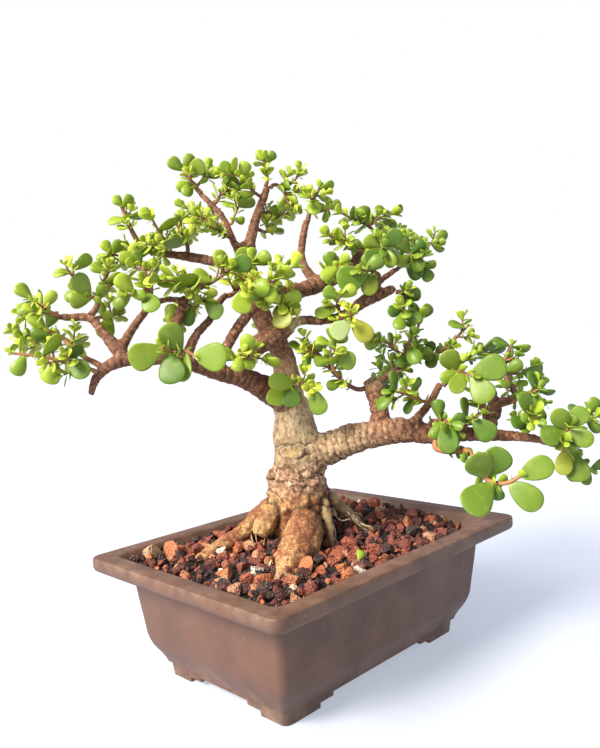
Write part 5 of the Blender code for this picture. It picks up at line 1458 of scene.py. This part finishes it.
def young_pairs(spray, draw):
    """The small young leaves between and beyond the large ones, and the closed pair at each tip."""
    for path, twig, _ in spray.stems:
        count = max(2, round(path_length(path) / (YOUNG_PITCH * MM)))
        turn = draw.uniform(0.0, math.pi)
        for pair in range(count):
            share = 0.22 + 0.76 * pair / (count - 1)
            spread = math.radians(66.0 - 34.0 * share + draw.uniform(-8.0, 8.0))
            length = (0.80 - 0.25 * share) * max(10.0, twig.length) * draw.uniform(0.6, 1.1)
            leaf_pair(spray, path, share, turn, spread, length, draw, 0.5 - 0.3 * share, 6)
            turn += math.pi / 2.0 + draw.uniform(-0.25, 0.25)
        leaf_pair(spray, path, 0.999, turn, math.radians(20.0), draw.uniform(5.0, 7.5), draw, 0.05, 4)


def shoot_clear(spray, start, tip):
    """True where a thin shoot from start to tip stays in the tree's outline and crosses nothing."""
    margin = SHOOT_MARGIN * MM
    if any(not low + margin < value < high - margin for low, value, high in zip(cad_low, tip, cad_high)):
        return False
    along = (tip - start).normalized()
    across = along.orthogonal().normalized() * SHOOT_RADII[0] * MM
    ring = [Matrix.Rotation(turn, 3, along) @ across for turn in (0.0, 2.1, 4.2)]
    corners = [end + out for end in (start, tip) for out in ring]
    trial = BVHTree.FromPolygons(corners, [(0, 1, 4, 3), (1, 2, 5, 4), (2, 0, 3, 5)])
    if trial.overlap(wood_tree):
        return False
    for other in sprays:
        if any(trial.overlap(tree_near) for tree_near in other.trees):
            return False
        for near in other.leaves:
            if (near["centre"] - start).length < SHOOT_NEAR * MM and trial.overlap(near["tree"]):
                return False
    return True


def side_shoots(spray, draw):
    """Short new shoots where the twig has room for them, each with three pairs of small leaves."""
    for path, twig, _ in list(spray.stems):
        for _ in range(round(path_length(path) / (SHOOT_PITCH * MM))):
            for _ in range(SHOOT_TRIES):
                root, heading = along_path(path, draw.uniform(0.2, 0.95))
                turn = Matrix.Rotation(draw.uniform(0.0, 6.28), 3, heading)
                side = turn @ heading.orthogonal().normalized()
                direction = (heading * 0.5 + side + Vector((0.0, 0.0, 0.35))).normalized()
                tip = root + direction * draw.uniform(*SHOOT_LENGTHS) * MM
                if not shoot_clear(spray, root + direction * (twig.radius + 1.5) * MM, tip):
                    continue
                shoot = [root, root.lerp(tip, 0.55) - Vector((0.0, 0.0, 0.5)) * MM, tip]
                stem = grow_stem("twig", shoot, SHOOT_RADII, 8, 3)
                spray.stems.append((shoot, twig, stem))
                spray.trees.append(tree_of_mesh(stem.data))
                turn = draw.uniform(0.0, math.pi)
                for share, spread, length in SHOOT_PAIRS:
                    spread = math.radians(spread)
                    length *= draw.uniform(0.85, 1.2)
                    leaf_pair(spray, shoot, share, turn, spread, length, draw, 0.5 - 0.3 * share, 6)
                    turn += math.pi / 2.0
                break


for set_leaves, seed in ((own_leaves, OWN_SEED), (leaf_pairs, PAIR_SEED), (young_pairs, YOUNG_SEED)):
    for index, spray in enumerate(sprays):
        set_leaves(spray, random.Random(seed + index))
for index, spray in enumerate(sprays):
    if max(leaf["length"] for leaf in spray.leaves) < BARE_ABOVE:
        side_shoots(spray, random.Random(SHOOT_SEED + index))

skin = new_skin("jade_leaf", 0.42)
age, tone, edge, along, pale, gold = [
    attribute_of(skin, name) for name in ("age", "tone", "edge", "along", "pale", "gold")
]
# the green runs from young lime to old deep green; the value that picks it also carries painted shade and
# painted sunlight, set by side below
green = ramp_of(skin, age, [
    (0.0, (0.45, 0.52, 0.055)), (0.3, (0.32, 0.43, 0.035)), (0.6, (0.19, 0.30, 0.024)),
    (1.0, (0.062, 0.140, 0.014)),
])
green = layered(skin, green, [
    (tone, 0.0, 1.0, 0.35, (0.32, 0.38, 0.025)),
    (tone, 0.35, 0.0, 0.55, (0.050, 0.120, 0.010)),
    (noise_of(skin, 160.0, 4.0, 0.6), 0.5, 0.75, 0.25, (0.34, 0.40, 0.06)),
    (along, 0.16, 0.0, 0.6, (0.46, 0.46, 0.15)),
    # the margin is painted lighter: partly the leaf's own pale rim, partly a painted rim highlight
    (edge, 0.9, 1.0, 0.55, (0.44, 0.48, 0.12)),
    (pale, 0.0, 1.0, 1.0, (0.36, 0.45, 0.20)),
    (gold, 0.0, 1.0, 1.0, (0.42, 0.40, 0.035)),
])
finish(skin, green, bump_of(skin, noise_of(skin, 1300.0, 3.0, 0.6), 0.12, 0.0004))
wire(skin.tree, skin.shader, {
    "Subsurface Weight": 0.12, "Subsurface Radius": (0.6, 1.0, 0.25), "Subsurface Scale": 0.002,
    "Coat Weight": 0.05, "Coat Roughness": 0.25, "Specular IOR Level": 0.3,
})
leaf_skin = skin

skin = new_skin("young_twig", 0.55)
flecks = noise_of(skin, 500.0, 5.0, 0.65)
twig_colour = ramp_of(skin, flecks, [
    (0.30, (0.060, 0.024, 0.016)), (0.50, (0.165, 0.065, 0.036)), (0.66, (0.30, 0.145, 0.080)),
])
warm = attribute_of(skin, "warm")
twig_colour = layered(skin, twig_colour, [(warm, 0.45, 1.0, 0.75, (0.42, 0.19, 0.055))])
finish(skin, twig_colour, bump_of(skin, flecks, 0.5, 0.0008))
twig_skin = skin

leaf_shapes = [model_leaf("leaf_" + name, 6, 9, *shape) for name, *shape in (
    ("flat", 0.03, 0.02, 0.70, 0.49, 0.70),
    ("cupped", 0.08, -0.05, 0.80, 0.66, 0.68),
    ("arched", 0.02, 0.12, 0.76, 0.58, 0.72),
    ("oval", 0.05, 0.03, 0.88, 0.78, 0.62),
    ("round", 0.04, -0.02, 0.78, 0.62, 0.80),
)]
large_leaves = [model_leaf("large_leaf_" + name, 8, 14, *shape) for name, *shape in (
    ("flat", 0.04, 0.05, 0.76, 0.58, 0.68),
    ("oval", 0.07, 0.08, 0.90, 0.78, 0.62),
    ("round", 0.05, -0.04, 0.80, 0.64, 0.74),
)]
LARGE = 17.0
SHADED_SIDE = 40.0
SHADE_AGE = 0.26
SUN_AGE = -0.20
LARGE_AGE = 0.22
# a few leaves, by spray and leaf, are washed out or turning yellow, and a few are set to the deepest green
ODD_LEAVES = {
    ("limb_hang", 0): {"pale": 0.8}, ("limb_hang", 1): {"gold": 0.7}, ("mid_olive", 1): {"gold": 0.5},
    ("shelf_yellow", 1): {"gold": 0.25}, ("right_low", 0): {"gold": 0.4},
    ("arch_big", 1): {"age": 1.0, "tone": 0.2}, ("left_low", 2): {"age": 1.0, "tone": 0.2},
    ("trunk_twig", 2): {"age": 0.95, "tone": 0.2},
}
for index, spray in enumerate(sprays):
    draw = random.Random(BLADE_SEED + index)
    blades = []
    for leaf in spray.leaves:
        large = leaf["length"] > LARGE
        blade = set_copy(draw.choice(large_leaves if large else leaf_shapes),
                         leaf["matrix"] @ Matrix.Scale(leaf["length"], 4))
        clad(blade, leaf_skin)
        # painted light: leaves on the shaded side, right of the pot's middle, get the darker green of old
        # leaves as painted shade, and the rest the lighter green of young ones as painted sunlight
        in_shade = (leaf["centre"] - pot_middle).dot(to_right) > SHADED_SIDE * MM
        shift = (SHADE_AGE if in_shade else SUN_AGE) + (LARGE_AGE if large else 0.0)
        look = {"age": max(0.0, min(1.0, leaf["age"] + shift + draw.uniform(-0.25, 0.2))),
                "tone": draw.random(), "pale": 0.0, "gold": 0.0}
        look.update(ODD_LEAVES.get((spray.name, len(blades)), {}))
        for name, value in look.items():
            tag_points(blade.data, name, value)
        blades.append(blade)
    stems = [stem for _, _, stem in spray.stems]
    for stem in stems:
        clad(stem, twig_skin)
        tag_points(stem.data, "warm", draw.random())
        smooth(stem)
    piece = join_pieces("leafy_" + spray.name, stems + blades)
    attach(piece, "root")
    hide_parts("spray_" + spray.name)

# Fallen leaf: one green leaf that has dropped on the gravel at the front.
FALLEN_AT = (-25.0, -66.0)
FALLEN_LENGTH = 9.5
FALLEN_LIFT = 3.2
FALLEN_TURN = Euler((0.5, -0.35, 0.4))
ground = soil_level(*FALLEN_AT) + FALLEN_LIFT
lying = Matrix.Translation(on_pot(*FALLEN_AT, ground)) @ FALLEN_TURN.to_matrix().to_4x4()
fallen = set_copy(leaf_shapes[2], lying @ Matrix.Scale(FALLEN_LENGTH * MM, 4))
fallen.name = "fallen_leaf"
clad(fallen, leaf_skin)
for name, value in (("age", 0.5), ("tone", 0.4), ("pale", 0.0), ("gold", 0.0)):
    tag_points(fallen.data, name, value)
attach(fallen, "root")
for shape in leaf_shapes + large_leaves:
    bpy.data.objects.remove(shape)
